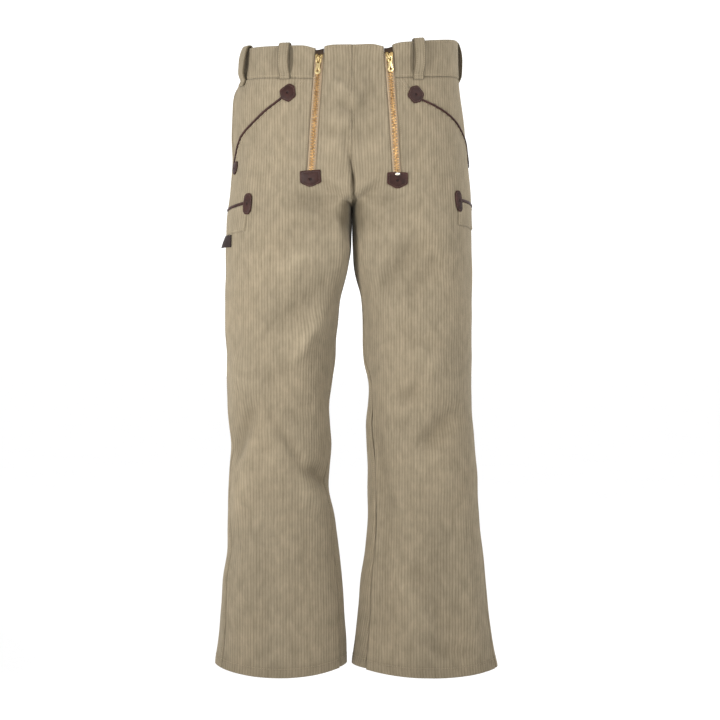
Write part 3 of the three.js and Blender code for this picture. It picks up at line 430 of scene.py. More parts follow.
def reach_at_x(leg, x, level, back=False):
    """The reach at which the form's front or back is x from the centre plane."""
    near = np.full(np.shape(level), 1.0 if back else 0.0)
    far = np.full(np.shape(level), 0.5)
    for _ in range(HALVINGS):
        s = (near + far) / 2
        inside = np.abs(form_point(leg, s, level)[..., 0]) < x
        near, far = np.where(inside, s, near), np.where(inside, far, s)
    row = level_row(leg, level)
    place = np.clip(near * ROW_SAMPLES, 0, ROW_SAMPLES - 0.001)
    i = place.astype(int)[:, None]
    low, high = np.take_along_axis(row, i, 1)[:, 0], np.take_along_axis(row, i + 1, 1)[:, 0]
    return mix(low, high, place - i[:, 0])


def zip_x(level):
    down = np.clip((TOP_LEVEL - level) / (TOP_LEVEL - ZIP_END), 0, 1)
    return mix(ZIP_TOP_X, ZIP_FOOT_X, down)


ZIP_LEVELS = np.arange(40.0, -240, -4)
ZIP_TABLES = {leg: reach_at_x(leg, zip_x(ZIP_LEVELS) + ZIP_SHIFT[leg], ZIP_LEVELS) for leg in SIDE}


def zip_reach(leg, level):
    return np.interp(-np.asarray(level, float), -ZIP_LEVELS, ZIP_TABLES[leg])


for leg in SIDE:
    print(leg, "waist half girth:", round(float(back_edge(leg, -10) - front_edge(leg, -10))), "mm")

# %% [markdown]
# ## Nets of cloth with wales
# Corduroy is ribbed: on this cloth a rib, called a wale, comes about every 5 mm. They run straight down the
# crease of each panel, so they meet a slanting seam at an angle. A bump map could fake them, but here each
# wale is real: four columns of points, one in the valley, one on top and one on each shoulder. A net is made
# of strips between two edges. Columns that would pass an edge stop on it, and points that fall together are
# welded.

# %% The net and its strips
WALE = 5.05
WALE_HEIGHT = 0.7
WALE_PLACES = (0.0, 0.22, 0.5, 0.78)
WOBBLE = 0.22
WELD_STEPS = 200
FAR = 1000.0


def grid_faces(rows, columns):
    """The four-cornered faces between the points of a grid that are numbered row by row."""
    index = np.arange(rows * columns).reshape(rows, columns)
    corners = [index[:-1, :-1], index[1:, :-1], index[1:, 1:], index[:-1, 1:]]
    return np.stack([c.ravel() for c in corners], 1)


class Net:
    def __init__(self, crease):
        self.crease = crease
        self.parts = []

    def strip(self, levels, start, end, top_seam=None, snaps=(), quiet_start=None, quiet_end=None):
        """Adds rows of points between two edges, functions of the level. A quiet edge has no groove."""
        levels = np.array(levels, float)
        first, last = start(levels), end(levels)
        middle = self.crease(levels)
        low = math.floor(np.min(first - middle) / WALE) - 1
        high = math.ceil(np.max(last - middle) / WALE) + 1
        columns = np.array([(k + share) * WALE for k in range(low, high + 1) for share in WALE_PLACES])
        wobble = WOBBLE * np.sin(levels[:, None] / 47 + np.floor(columns / WALE)[None, :] * 2.4)
        reach = middle[:, None] + columns[None, :] + wobble
        for level, place in snaps:
            row = int(np.argmin(np.abs(levels - level)))
            reach[row, np.argmin(np.abs(reach[row] - place))] = place
        reach = np.clip(reach, first[:, None], last[:, None])
        quiet = [40 * f(levels)[:, None] if f else 0 for f in (quiet_start, quiet_end)]
        edge = np.minimum(reach - first[:, None] + quiet[0], last[:, None] - reach + quiet[1])
        phase = np.broadcast_to((columns / WALE) % 1, reach.shape)
        heading = FAR if top_seam is None else top_seam - levels[:, None]
        self.parts.append({
            "reach": reach,
            "level": np.broadcast_to(levels[:, None], reach.shape),
            "edge": edge,
            "head": np.broadcast_to(heading, reach.shape),
            "phase": phase,
        })

    def weld(self):
        """One list of points and faces for all the strips."""
        joined = {key: np.concatenate([part[key].ravel() for part in self.parts]) for key in self.parts[0]}
        quads, base = [], 0
        for part in self.parts:
            rows, columns = part["reach"].shape
            quads.append(base + grid_faces(rows, columns))
            base += rows * columns
        keys = np.round(np.stack([joined["reach"], joined["level"]], 1) * WELD_STEPS).astype(np.int64)
        _, first, index = np.unique(keys, axis=0, return_index=True, return_inverse=True)
        faces = []
        for quad in index.reshape(-1)[np.concatenate(quads)].tolist():
            corners = [v for k, v in enumerate(quad) if v != quad[k - 1]]
            if len(set(corners)) == len(corners) and len(corners) > 2:
                faces.append(corners)
        return {key: values[first] for key, values in joined.items()}, faces


# %% From a net to a closed wall
RIB_ROUNDNESS = 0.75
SUNK = 0.5
BEND_RANGE = 28


def wale_height(points, stitched=()):
    """How far the ribs, the rolled edges and the stitch grooves stand off the cloth's middle face."""
    reach, level = points["reach"], points["level"]
    rib = np.abs(np.sin(math.pi * points["phase"])) ** RIB_ROUNDNESS
    # Uneven wear of the pile: this factor sets the height of the ribs, not their colour.
    worn = 0.86 + 0.14 * np.sin(reach / 19 + np.sin(level / 37)) * np.sin(level / 53)
    border = np.minimum(points["edge"], points["head"])
    height = WALE_HEIGHT * worn * rib * (1 - 0.75 * bump(border, 1.6))
    for distance in stitched:
        height *= 1 - 0.5 * bump(border - distance, 1.3)
    rolled = 0.5 * bump(border - 3.4, 3.2) - 0.75 * bump(border, 1.4)
    return height + rolled, rib


def open_sides(faces):
    """The directed sides that only one face has: the net's border."""
    seen = {}
    for face in faces:
        for k, a in enumerate(face):
            b = face[(k + 1) % len(face)]
            if (b, a) in seen:
                del seen[(b, a)]
            else:
                seen[(a, b)] = True
    return list(seen)


def mesh_object(name, points, faces, material, uv=None, shades=None, smooth=True):
    """A Blender object from points in millimetres."""
    mesh = bpy.data.meshes.new(name)
    mesh.from_pydata((np.asarray(points) * MM).tolist(), [], faces)
    mesh.materials.append(material)
    if uv is not None:
        corner = np.zeros(len(mesh.loops), np.int32)
        mesh.loops.foreach_get("vertex_index", corner)
        layer = mesh.uv_layers.new(name="cloth")
        layer.data.foreach_set("uv", (np.asarray(uv)[corner] * MM).astype(np.float32).ravel())
    for key, values in (shades or {}).items():
        mesh.attributes.new(key, "FLOAT", "POINT").data.foreach_set("value", np.asarray(values, np.float32))
    mesh.polygons.foreach_set("use_smooth", np.full(len(mesh.polygons), smooth))
    mesh.update()
    made = bpy.data.objects.new(name, mesh)
    bpy.context.scene.collection.objects.link(made)
    return made


def bar_faces(rings, count):
    """The sides and both ends of a bar, made of rings with the same number of points."""
    faces = []
    for i in range(rings - 1):
        for k in range(count):
            a, b = i * count + k, i * count + (k + 1) % count
            faces.append([a, a + count, b + count, b])
    return faces + [list(range(count)), [(rings - 1) * count + k for k in reversed(range(count))]]


def closed_faces(faces, count, flip):
    """An outer face, an inner one and a rim, from the faces of one net."""
    inner = [[count + v for v in reversed(face)] for face in faces]
    rim = [[b, a, count + a, count + b] for a, b in open_sides(faces)]
    made = faces + inner + rim
    return [face[::-1] for face in made] if flip else made


def cloth_wall(
    name, leg, net, material, thickness=CLOTH, lift=0.0, stitched=(), relief=None, edge_shade=0.45
):
    """A closed wall of corduroy over a net: ribbed outside and plain inside."""
    points, faces = net.weld()
    reach, level = points["reach"], points["level"]
    place, normal = on_cloth(leg, reach, level)
    height, rib = wale_height(points, stitched)
    if relief is not None:
        height = height + relief(points)
    depth = thickness(level) if callable(thickness) else np.full(len(place), thickness)
    lift = lift(points) if callable(lift) else lift
    meeting = 1 - apart(leg, normal, level)
    rise = mix(lift + height - SUNK, 0.3, meeting)
    outer = place + normal * rise[:, None]
    inner = place + normal * (mix(lift - SUNK + np.minimum(height, 0), 0, meeting) - depth)[:, None]
    from_centre = np.minimum(reach - front_edge(leg, level), back_edge(leg, level) - reach)
    sewn_up = (from_centre < SEAM_GAP) & (level > CROTCH_LEVEL - 18)
    outer[sewn_up, 0] = inner[sewn_up, 0] = 0
    count = len(place)
    uv = np.stack([reach - net.crease(level), level], 1)
    # Painted light and shade of the folds: by how far the cloth stands off its smooth form, troughs are
    # painted darker and ridges lighter.
    smooth = form_point(leg, share_at(leg, reach, level), level)
    bend = np.clip(0.5 + np.sum((place - smooth) * normal, 1) / BEND_RANGE, 0, 1)
    # Painted shade: darker along the seams and cut edges, less so down the bells, a little along the hem, and
    # most where the two legs meet on the centre plane above the crotch.
    shade = edge_shade * mix(0.3, 1, ease((level + 640) / 200))
    border = shade * bump(np.minimum(points["edge"], points["head"]), 2.2)
    hem = 0.12 * ease((HEM_LEVEL + 24 - level) / 8)
    border = np.maximum(border + hem, 0.8 * meeting)
    made = mesh_object(
        name,
        np.concatenate([outer, inner]),
        closed_faces(faces, count, SIDE[leg] > 0),
        material,
        np.concatenate([uv, uv]),
        {
            "pile": np.concatenate([rib, np.full(count, 0.35)]),
            "worn": np.concatenate([border, border]),
            "bend": np.concatenate([bend, bend]),
        },
    )
    print(name, len(made.data.polygons), "faces")
    edges = np.zeros(2 * len(made.data.edges), np.int32)
    made.data.edges.foreach_get("vertices", edges)
    crisp = np.tile(sewn_up, 2)[edges.reshape(-1, 2)].all(1)
    made.data.edges.foreach_set("use_edge_sharp", crisp)
    return made


# %% [markdown]
# ## Finishes
# Each finish is made of nodes, so it has grain at its true scale and needs no pictures. Cut pile is matt and
# catches light at grazing angles, which is the sheen of the Principled shader. The valleys between the wales
# are darker because little light comes out of them.

# %% A helper that builds a material
def new_material(name, roughness, metallic=0.0, sheen=0.0, specular=0.3):
    material = bpy.data.materials.new(name)
    material.use_nodes = True
    tree = material.node_tree
    shader = tree.nodes["Principled BSDF"]
    shader.inputs["Roughness"].default_value = roughness
    shader.inputs["Metallic"].default_value = metallic
    shader.inputs["Specular IOR Level"].default_value = specular
    shader.inputs["Sheen Weight"].default_value = sheen
    shader.inputs["Sheen Roughness"].default_value = 0.45
    return material, tree, shader


def add_node(tree, kind, settings=None, **inputs):
    node = tree.nodes.new(kind)
    for key, value in (settings or {}).items():
        setattr(node, key, value)
    for key, value in inputs.items():
        name = key.replace("_", " ")
        socket = node.inputs[name] if name in node.inputs else node.inputs[int(key[1:])]
        if isinstance(value, bpy.types.NodeSocket):
            tree.links.new(value, socket)
        else:
            socket.default_value = value
    return node


def ramp(tree, factor, stops):
    node = tree.nodes.new("ShaderNodeValToRGB")
    elements = node.color_ramp.elements
    while len(elements) < len(stops):
        elements.new(0.5)
    for element, (place, colour) in zip(elements, stops):
        element.position = place
        element.color = (*colour, 1)
    tree.links.new(factor, node.inputs["Fac"])
    return node.outputs["Color"]


def attribute(tree, name):
    return add_node(tree, "ShaderNodeAttribute", {"attribute_name": name}).outputs["Fac"]


def object_place(tree):
    return add_node(tree, "ShaderNodeTexCoord").outputs["Object"]


def cloth_vector(tree, across, along):
    """Cloth coordinates with so many cells to a metre, across the wales and along them."""
    uv = add_node(tree, "ShaderNodeUVMap", {"uv_map": "cloth"}).outputs["UV"]
    mapping = add_node(tree, "ShaderNodeMapping", Vector=uv, Scale=(across, along, 1))
    return mapping.outputs["Vector"]


def noise(tree, vector, scale=1.0, detail=3.0, rough=0.55):
    node = add_node(tree, "ShaderNodeTexNoise", Vector=vector, Scale=scale, Detail=detail, Roughness=rough)
    return node.outputs["Fac"]


def tint(tree, colour, factor, stops):
    """A colour times another one, which a factor picks between stops."""
    node = add_node(tree, "ShaderNodeMix", {"data_type": "RGBA", "blend_type": "MULTIPLY"})
    node.inputs["Factor"].default_value = 1
    tree.links.new(colour, node.inputs["A"])
    tree.links.new(ramp(tree, factor, stops), node.inputs["B"])
    return node.outputs["Result"]


def add_bump(tree, shader, height, strength, distance):
    node = add_node(tree, "ShaderNodeBump", Strength=strength, Distance=distance, Height=height)
    tree.links.new(node.outputs["Normal"], shader.inputs["Normal"])


# %% Corduroy
VALLEY = (0.18, 0.148, 0.099)
SHOULDER = (0.222, 0.183, 0.125)
CREST = (0.246, 0.204, 0.142)


def corduroy_finish():
    material, tree, shader = new_material("corduroy", roughness=0.9, sheen=0.25, specular=0.12)
    shader.inputs["Sheen Tint"].default_value = (0.95, 0.88, 0.72, 1)
    colour = ramp(tree, attribute(tree, "pile"), [(0.0, VALLEY), (0.5, SHOULDER), (1.0, CREST)])
    wide = noise(tree, cloth_vector(tree, 9, 6), detail=3)
    colour = tint(tree, colour, wide, [(0.3, (0.92, 0.925, 0.925)), (0.7, (1.07, 1.06, 1.045))])
    cloudy = noise(tree, cloth_vector(tree, 70, 48), detail=3, rough=0.6)
    colour = tint(tree, colour, cloudy, [(0.3, (0.89, 0.89, 0.88)), (0.7, (1.1, 1.1, 1.105))])
    brushed = noise(tree, cloth_vector(tree, 260, 30), detail=4, rough=0.6)
    colour = tint(tree, colour, brushed, [(0.3, (0.88, 0.88, 0.87)), (0.7, (1.1, 1.1, 1.11))])
    fibre = noise(tree, cloth_vector(tree, 2600, 900), detail=2)
    colour = tint(tree, colour, fibre, [(0.25, (0.9, 0.9, 0.9)), (0.75, (1.08, 1.08, 1.08))])
    # Painted shade along the seams, the hem, the crotch and the edges of the belt loops.
    worn = attribute(tree, "worn")
    colour = tint(tree, colour, worn, [(0.0, (1, 1, 1)), (1.0, (0.42, 0.4, 0.36))])
    # Painted shade in the troughs of the folds and painted light on their ridges.
    bend = attribute(tree, "bend")
    colour = tint(tree, colour, bend, [(0.0, (0.72, 0.71, 0.69)), (1.0, (1.2, 1.2, 1.2))])
    tree.links.new(colour, shader.inputs["Base Color"])
    add_bump(tree, shader, fibre, 0.35, 0.0006)
    return material


CORDUROY = corduroy_finish()
print("made", CORDUROY.name)

# %% [markdown]
# ## Panels
# Two front and two back panels make the legs. The front ones run up between the zips as a flap, so each has a
# slot for its zip and a curved cut for its pocket. The wales follow the crease, half way between the seams of
# the thigh, and the bell's seams run off to both sides of it.

# %% Edges and rows
POCKET_MOUTHS = {
    "left": [
        (-33, 152), (-63, 138), (-72, 128), (-82, 107), (-95, 84),
        (-111, 61), (-130, 39), (-148, 18), (-172, 3),
    ],
    "right": [
        (-33, 146), (-59, 131), (-67, 123), (-88, 94), (-110, 65),
        (-128, 41), (-139, 29), (-156, 16), (-184, 3),
    ],
}
ROW_STEP = 8


def mouth_reach(leg, level):
    rows = np.array(POCKET_MOUTHS[leg], float)
    return -through(rows[:, 0], rows[:, 1], level)


def mouth_end(leg):
    return POCKET_MOUTHS[leg][-1][0]


def even_levels(top, bottom, step=ROW_STEP):
    return np.linspace(top, bottom, max(2, round((top - bottom) / step) + 1))


def seamed_levels(top, bottom, step=ROW_STEP):
    """Even levels with a few close ones below a seam at the top."""
    near = top - np.array([0, 0.8, 1.8, 3.2, 5])
    return np.concatenate([near, even_levels(top - 8, bottom, step)])


SEAT_TOP = WAIST_SEAM - SEAM_GAP
BAND_LEVELS = np.concatenate([
    TOP_LEVEL - np.array([0, 1, 2.5, 4.5]),
    even_levels(TOP_LEVEL - 8, WAIST_SEAM + 7, 6),
    WAIST_SEAM + np.array([4.5, 2.5, 1, 0]),
])
LEG_LEVELS = np.concatenate([
    even_levels(ZIP_END, HEM_LEVEL + HEM_TURN_UP + 4),
    HEM_LEVEL + np.array([HEM_TURN_UP + 1, HEM_TURN_UP - 2, 19, 15, 10, 6, 3, 1, 0]),
])


def mouth_levels(leg):
    return seamed_levels(SEAT_TOP, mouth_end(leg), 6)


def seat_levels(leg):
    return np.concatenate([mouth_levels(leg), even_levels(mouth_end(leg), ZIP_END, 6)[1:]])


def straight_crease(leg, x, back=False):
    levels = np.linspace(40.0, -1040, 55)
    middle = reach_at_x(leg, x, levels, back)
    return lambda level: np.interp(-np.asarray(level, float), -levels, middle)


CREASE_X = 104.0
CREASES = {
    (leg, face): straight_crease(leg, CREASE_X, face == "back") for leg in SIDE for face in ("front", "back")
}


def leg_wall(level):
    """The hem is turned up inside, so the cloth is double there."""
    return np.where(level < HEM_LEVEL + HEM_TURN_UP, CLOTH + HEM_EXTRA, CLOTH)


# %% Front and back panels
HEM_STITCH = 15
POCKET_SHUT = -62


def hem_groove(points):
    up = points["level"] - HEM_LEVEL
    return 0.3 * bump(up - 8, 6) - 0.15 * bump(up - HEM_STITCH, 1.6)


def straight(reach):
    """An edge with the same reach at every level, as along the side seam."""
    return lambda level: np.full(np.shape(level), reach)


def above_crotch(level):
    return ease((level - CROTCH_LEVEL + 20) / 40)


def above_mouth(level):
    """The slanting seam is sewn shut above the pocket's upper tab."""
    return ease((level - POCKET_SHUT) / 10)


def front_panel(leg):
    net = Net(CREASES[leg, "front"])
    centre = lambda level: front_edge(leg, level) + SEAM_GAP / 2 * (1 - above_crotch(level))
    flap_side = lambda level: zip_reach(leg, level) - ZIP_SLOT / 2
    zip_side = lambda level: zip_reach(leg, level) + ZIP_SLOT / 2
    seam = straight(-SEAM_GAP / 2)
    mouth = lambda level: mouth_reach(leg, level) - SEAM_GAP / 2 * (1 - above_mouth(level))
    side = lambda level: np.where(level >= mouth_end(leg), mouth(level), seam(level))
    at_end = np.array([float(ZIP_END)])
    snaps = [(ZIP_END, float(flap_side(at_end)[0])), (ZIP_END, float(zip_side(at_end)[0]))]
    flap_levels = np.concatenate([BAND_LEVELS, seat_levels(leg)])
    net.strip(flap_levels, centre, flap_side, snaps=snaps, quiet_start=above_crotch)
    net.strip(seat_levels(leg), zip_side, side, top_seam=SEAT_TOP, snaps=snaps, quiet_end=above_mouth)
    net.strip(LEG_LEVELS, centre, seam, snaps=snaps, quiet_start=above_crotch)
    return cloth_wall(f"front_panel_{leg}", leg, net, CORDUROY, leg_wall, stitched=(6.5,), relief=hem_groove)


def back_panel(leg):
    net = Net(CREASES[leg, "back"])
    end = lambda level: back_edge(leg, level) - SEAM_GAP / 2
    levels = np.concatenate([seat_levels(leg), LEG_LEVELS[1:]])
    net.strip(levels, straight(SEAM_GAP / 2), end, top_seam=SEAT_TOP)
    return cloth_wall(f"back_panel_{leg}", leg, net, CORDUROY, leg_wall, stitched=(6.5,), relief=hem_groove)


def pocket_facing(leg):
    net = Net(CREASES[leg, "front"])
    start = lambda level: mouth_reach(leg, level) + SEAM_GAP / 2 * (1 - above_mouth(level))
    end = straight(-SEAM_GAP / 2)
    net.strip(mouth_levels(leg), start, end, top_seam=SEAT_TOP, quiet_start=above_mouth)
    return cloth_wall(f"pocket_facing_cloth_{leg}", leg, net, CORDUROY, CLOTH, lift=-0.2)


def waistband(leg):
    net = Net(CREASES[leg, "front"])
    start = lambda level: zip_reach(leg, level) + ZIP_SLOT / 2
    end = lambda level: back_edge(leg, level) - SEAM_GAP / 2
    net.strip(BAND_LEVELS, start, end)
    edges = lambda p: 0.3 - 0.9 * (bump(p["level"] - TOP_LEVEL, 1.4) + bump(p["level"] - WAIST_SEAM, 1.4))
    thick = lambda level: np.where(level > WAIST_SEAM + 0.5, BAND_CLOTH, CLOTH)
    return cloth_wall(f"waistband_half_{leg}", leg, net, CORDUROY, thick, relief=edges)


panels = {}
for leg in SIDE:
    panels["front", leg] = front_panel(leg)
    panels["back", leg] = back_panel(leg)
    panels["facing", leg] = pocket_facing(leg)
    panels["band", leg] = waistband(leg)

# %% [markdown]
# ## Rule pockets and belt loops
# A rule pocket is a low patch of the same cloth, sewn on the thigh. A belt loop is a folded strip: sewn flat
# below the band, standing off it and turned over the top edge. Its path is drawn once as heights over the
# cloth, and the strip with its own wales follows that path wherever the loop sits.

# %% Rule pockets
RULE_POCKETS = {
    "left": {"front": 89, "top": (-250, -246), "bottom": (-290, -287)},
    "right": {"front": 73, "top": (-260, -252), "bottom": (-301, -298)},
}
POCKET_THICK = 1.3
POCKET_LIFT = 0.5


def rule_pocket_level(leg, reach, share):
    """The level at a share of the way down the pocket, whose edges slant from the seam to the front."""
    pocket = RULE_POCKETS[leg]
    forwards = -reach / pocket["front"]
    return mix(mix(*pocket["top"], forwards), mix(*pocket["bottom"], forwards), share)


def rule_pocket(leg):
    net = Net(CREASES[leg, "front"])
    front = RULE_POCKETS[leg]["front"]
    shares = np.array([0, 0.03, 0.08, 0.2, 0.35, 0.5, 0.65, 0.8, 0.92, 0.97, 1])
    middle = float(net.crease(-275.0))
    low = math.floor((-front - middle) / WALE) - 1
    high = math.ceil(-middle / WALE) + 1
    columns = np.array([(k + share) * WALE for k in range(low, high) for share in WALE_PLACES])
    reach = np.tile(np.clip(middle + columns, -front, -1), (len(shares), 1))
    level = rule_pocket_level(leg, reach, shares[:, None])
    height = rule_pocket_level(leg, reach, 0) - rule_pocket_level(leg, reach, 1)
    net.parts.append({
        "reach": reach,
        "level": level,
        "edge": np.minimum(reach + front, 40),
        "head": height * np.minimum(shares, 1 - shares)[:, None],
        "phase": np.broadcast_to((columns / WALE) % 1, reach.shape),
    })
    lift = lambda points: mix(0.4, POCKET_LIFT + POCKET_THICK, ease(-(points["reach"] + 1) / 18))
    return cloth_wall(f"rule_pocket_cloth_{leg}", leg, net, CORDUROY, POCKET_THICK, lift, edge_shade=0.1)


# %% Belt loops
LOOP = {"width": 19, "wall": 2.2, "gap": 9, "sewn": 9, "over": 2.2, "inside": 9, "inside_gap": 1.3}
LOOP_PLACES = {
    "front_left": {"leg": "left", "x": 111, "foot": -38},
    "front_right": {"leg": "right", "x": 111, "foot": -36},
    "side_left": {"leg": "left", "side": -26, "foot": -46},
    "side_right": {"leg": "right", "side": 27, "foot": -46},
    "back_left": {"leg": "left", "x": 108, "foot": -46, "back": True},
    "back_right": {"leg": "right", "x": 112, "foot": -46, "back": True},
}


def smooth_path(points, steps=6):
    """A curve through a few points, as a Catmull-Rom spline."""
    points = np.array(points, float)
    padded = np.concatenate([[2 * points[0] - points[1]], points, [2 * points[-1] - points[-2]]])
    t = np.linspace(0, 1, steps, endpoint=False)[:, None]
    made = []
    for a, b, c, d in zip(padded, padded[1:], padded[2:], padded[3:]):
        square = (2 * a - 5 * b + 4 * c - d) * t**2
        cube = (3 * b - a - 3 * c + d) * t**3
        made.append(0.5 * (2 * b + (c - a) * t + square + cube))
    return np.concatenate(made + [points[-1:]])


def loop_path(foot):
    out = LOOP["gap"] + LOOP["wall"] / 2
    top = TOP_LEVEL + LOOP["over"] + LOOP["wall"] / 2
    inside = -BAND_CLOTH - LOOP["inside_gap"] - LOOP["wall"] / 2
    sewn = foot + LOOP["sewn"]
    lying = 1.9
    return smooth_path([
        (foot, lying), (sewn, lying + 0.2), (sewn + 6, out - 4.2), (sewn + 15, out - 0.6), (-2, out),
        (TOP_LEVEL - 14, out - 1.4), (TOP_LEVEL - 6, out - 3.6), (TOP_LEVEL + 0.6, out - 6.2), (top, 1),
        (top - 1, inside + 0.3), (TOP_LEVEL - LOOP["inside"], inside),
    ])


def belt_loop(name, leg, foot, x=None, side=None, back=False):
    path = loop_path(foot)
    tangent = unit(np.gradient(path, axis=0))
    across = np.linspace(-LOOP["width"] / 2, LOOP["width"] / 2, 21)
    edge = LOOP["width"] / 2 - np.abs(across)
    rib = np.abs(np.sin(math.pi * across / WALE)) ** RIB_ROUNDNESS
    middle = np.full(len(path), -float(side)) if x is None else reach_at_x(leg, float(x), path[:, 0], back)

    def face(height):
        level = path[:, :1] - height * tangent[:, 1:]
        lift = path[:, 1:] + height * tangent[:, :1]
        place, normal = on_cloth(leg, middle[:, None] + across[None, :] + 0 * level, level)
        return place + normal * lift.ravel()[:, None]

    half = LOOP["wall"] / 2
    outer = half + 0.55 * rib * (1 - bump(edge, 1.4)) - 0.7 * bump(edge, 1.0)
    inner = np.full((len(path), len(across)), -half)
    points = np.concatenate([face(np.tile(outer, (len(path), 1))), face(inner)])
    faces = grid_faces(len(path), len(across)).tolist()
    length = np.concatenate([[0], np.cumsum(np.linalg.norm(np.diff(path, axis=0), axis=1))])
    uv = np.stack([np.tile(across, len(path)), np.repeat(length, len(across))], 1)
    pile = np.tile(rib, len(path))
    # The strap's edges are painted darker, as shade where they roll under.
    worn = np.tile(bump(edge, 2.0), len(path))
    return mesh_object(
        f"belt_loop_{name}_strip",
        points,
        closed_faces(faces, inner.size, SIDE[leg] < 0),
        CORDUROY,
        np.concatenate([uv, uv]),
        {
            "pile": np.concatenate([pile, 0 * pile + 0.4]),
            "worn": np.concatenate([worn, worn]),
            "bend": np.full(2 * len(pile), 0.5),
        },
    )


rule_pockets = {leg: rule_pocket(leg) for leg in SIDE}
loops = {name: belt_loop(name, **place) for name, place in LOOP_PLACES.items()}
print("made", len(loops), "belt loops")

# %% [markdown]
# ## Leather
# The tabs are cut from dark brown leather just under 2 mm thick, sewn on where a pocket or zip would tear. A
# knife-cut tab has a crisp outline, a rounded edge, a groove where its seam pulls it down and a small punched
# dimple in the middle. The pocket edges are bound with a rolled strip of the same leather. Leather grain is a
# net of small cells, so its bump comes from a Voronoi texture.

# %% Leather and its thread
LEATHER_DARK = (0.018, 0.0072, 0.0056)
LEATHER_LIGHT = (0.041, 0.0158, 0.0125)


def leather_finish():
    material, tree, shader = new_material("dark_leather", roughness=0.5, specular=0.16)
    place = object_place(tree)
    cloudy = noise(tree, place, scale=90, detail=4)
    colour = ramp(tree, cloudy, [(0.3, LEATHER_DARK), (0.72, LEATHER_LIGHT)])
    # The rim is lighter where the leather is worn, and the punched dimple in the middle is darker.
    rim_and_dimple = [(0.0, (1, 1, 1)), (0.5, (1.4, 1.35, 1.3)), (1.0, (0.45, 0.42, 0.42))]
    colour = tint(tree, colour, attribute(tree, "worn"), rim_and_dimple)
    tree.links.new(colour, shader.inputs["Base Color"])
    cells = add_node(tree, "ShaderNodeTexVoronoi", {"feature": "DISTANCE_TO_EDGE"}, Vector=place, Scale=900)
    add_bump(tree, shader, cells.outputs["Distance"], 0.4, 0.0006)
    return material


def thread_finish(name, dark, light):
    material, tree, shader = new_material(name, roughness=0.7, sheen=0.15, specular=0.25)
    place = object_place(tree)
    twist = add_node(tree, "ShaderNodeTexWave", Vector=place, Scale=900, Distortion=2)
    tree.links.new(ramp(tree, twist.outputs["Fac"], [(0.2, dark), (0.8, light)]), shader.inputs["Base Color"])
    add_bump(tree, shader, twist.outputs["Fac"], 0.3, 0.0002)
    return material


LEATHER = leather_finish()
LEATHER_THREAD = thread_finish("brown_thread", (0.05, 0.03, 0.024), (0.1, 0.062, 0.048))
SEAM_THREAD = thread_finish("khaki_thread", (0.22, 0.175, 0.11), (0.38, 0.315, 0.215))
print("made", LEATHER.name, LEATHER_THREAD.name, SEAM_THREAD.name)

# %% Tabs
TAB_SHAPES = {
    "zip": [
        (-16.4, 13), (16.4, 13), (17.6, 11.8), (17.6, -3.4), (15.5, -6),
        (3, -13), (-3, -13), (-15.5, -6), (-17.6, -3.4), (-17.6, 11.8),
    ],
    "pocket": [(0.2, 16.4), (14.6, 5.2), (11.2, -9.4), (-0.8, -16.4), (-14.6, -6), (-11, 10.6)],
    "seam": [(-10, 11), (10, 11), (11, 0), (7, -8), (0, -11), (-7, -8), (-11, 0)],
    "rule": [
        (-18, 3.5), (-13, 7.5), (0, 8.6), (13, 7.5), (18, 3.5),
        (18, -3.5), (13, -7.5), (0, -8.6), (-13, -7.5), (-18, -3.5),
    ],
}
TAB_RINGS = [
    (1.0, 0.0), (1.0, 0.9), (0.975, 1.35), (0.93, 1.6), (0.87, 1.55), (0.82, 1.32), (0.77, 1.55),
    (0.6, 1.8), (0.4, 1.9), (0.22, 1.92), (0.15, 1.7), (0.1, 1.1), (0.05, 0.95),
]
STITCH_RING = 0.82
CORNER_CUT = 0.13


def rounded_outline(corners, times=2):
    """Corners cut off twice, which leaves a soft but still clear outline."""
    points = np.array(corners, float)
    for _ in range(times):
        after = np.roll(points, -1, axis=0)
        cuts = [mix(points, after, share) for share in (CORNER_CUT, 1 - CORNER_CUT)]
        points = np.stack(cuts, 1).reshape(-1, 2)
    return points


def turned(points, angle):
    c, s = math.cos(math.radians(angle)), math.sin(math.radians(angle))
    return points @ np.array([[c, s], [-s, c]])


def upright(leg, reach, level, outline):
    """A shape drawn level and upright, as steps along the cloth's own rows and columns at a place."""
    rows = [reach, reach + 8, reach - 8, reach, reach]
    place, normal = on_cloth(leg, rows, [level, level, level, level + 8, level - 8])
    along_row, up_column = (place[1] - place[2]) / 16, (place[3] - place[4]) / 16
    level_way = unit(np.cross([0, 0, 1], normal[0]))
    level_way *= np.sign(level_way @ along_row)
    up_way = unit(np.array([0, 0, 1]) - normal[0] * normal[0, 2])
    steps = np.array([[step @ way for step in (along_row, up_column)] for way in (level_way, up_way)])
    return outline @ np.linalg.inv(steps).T


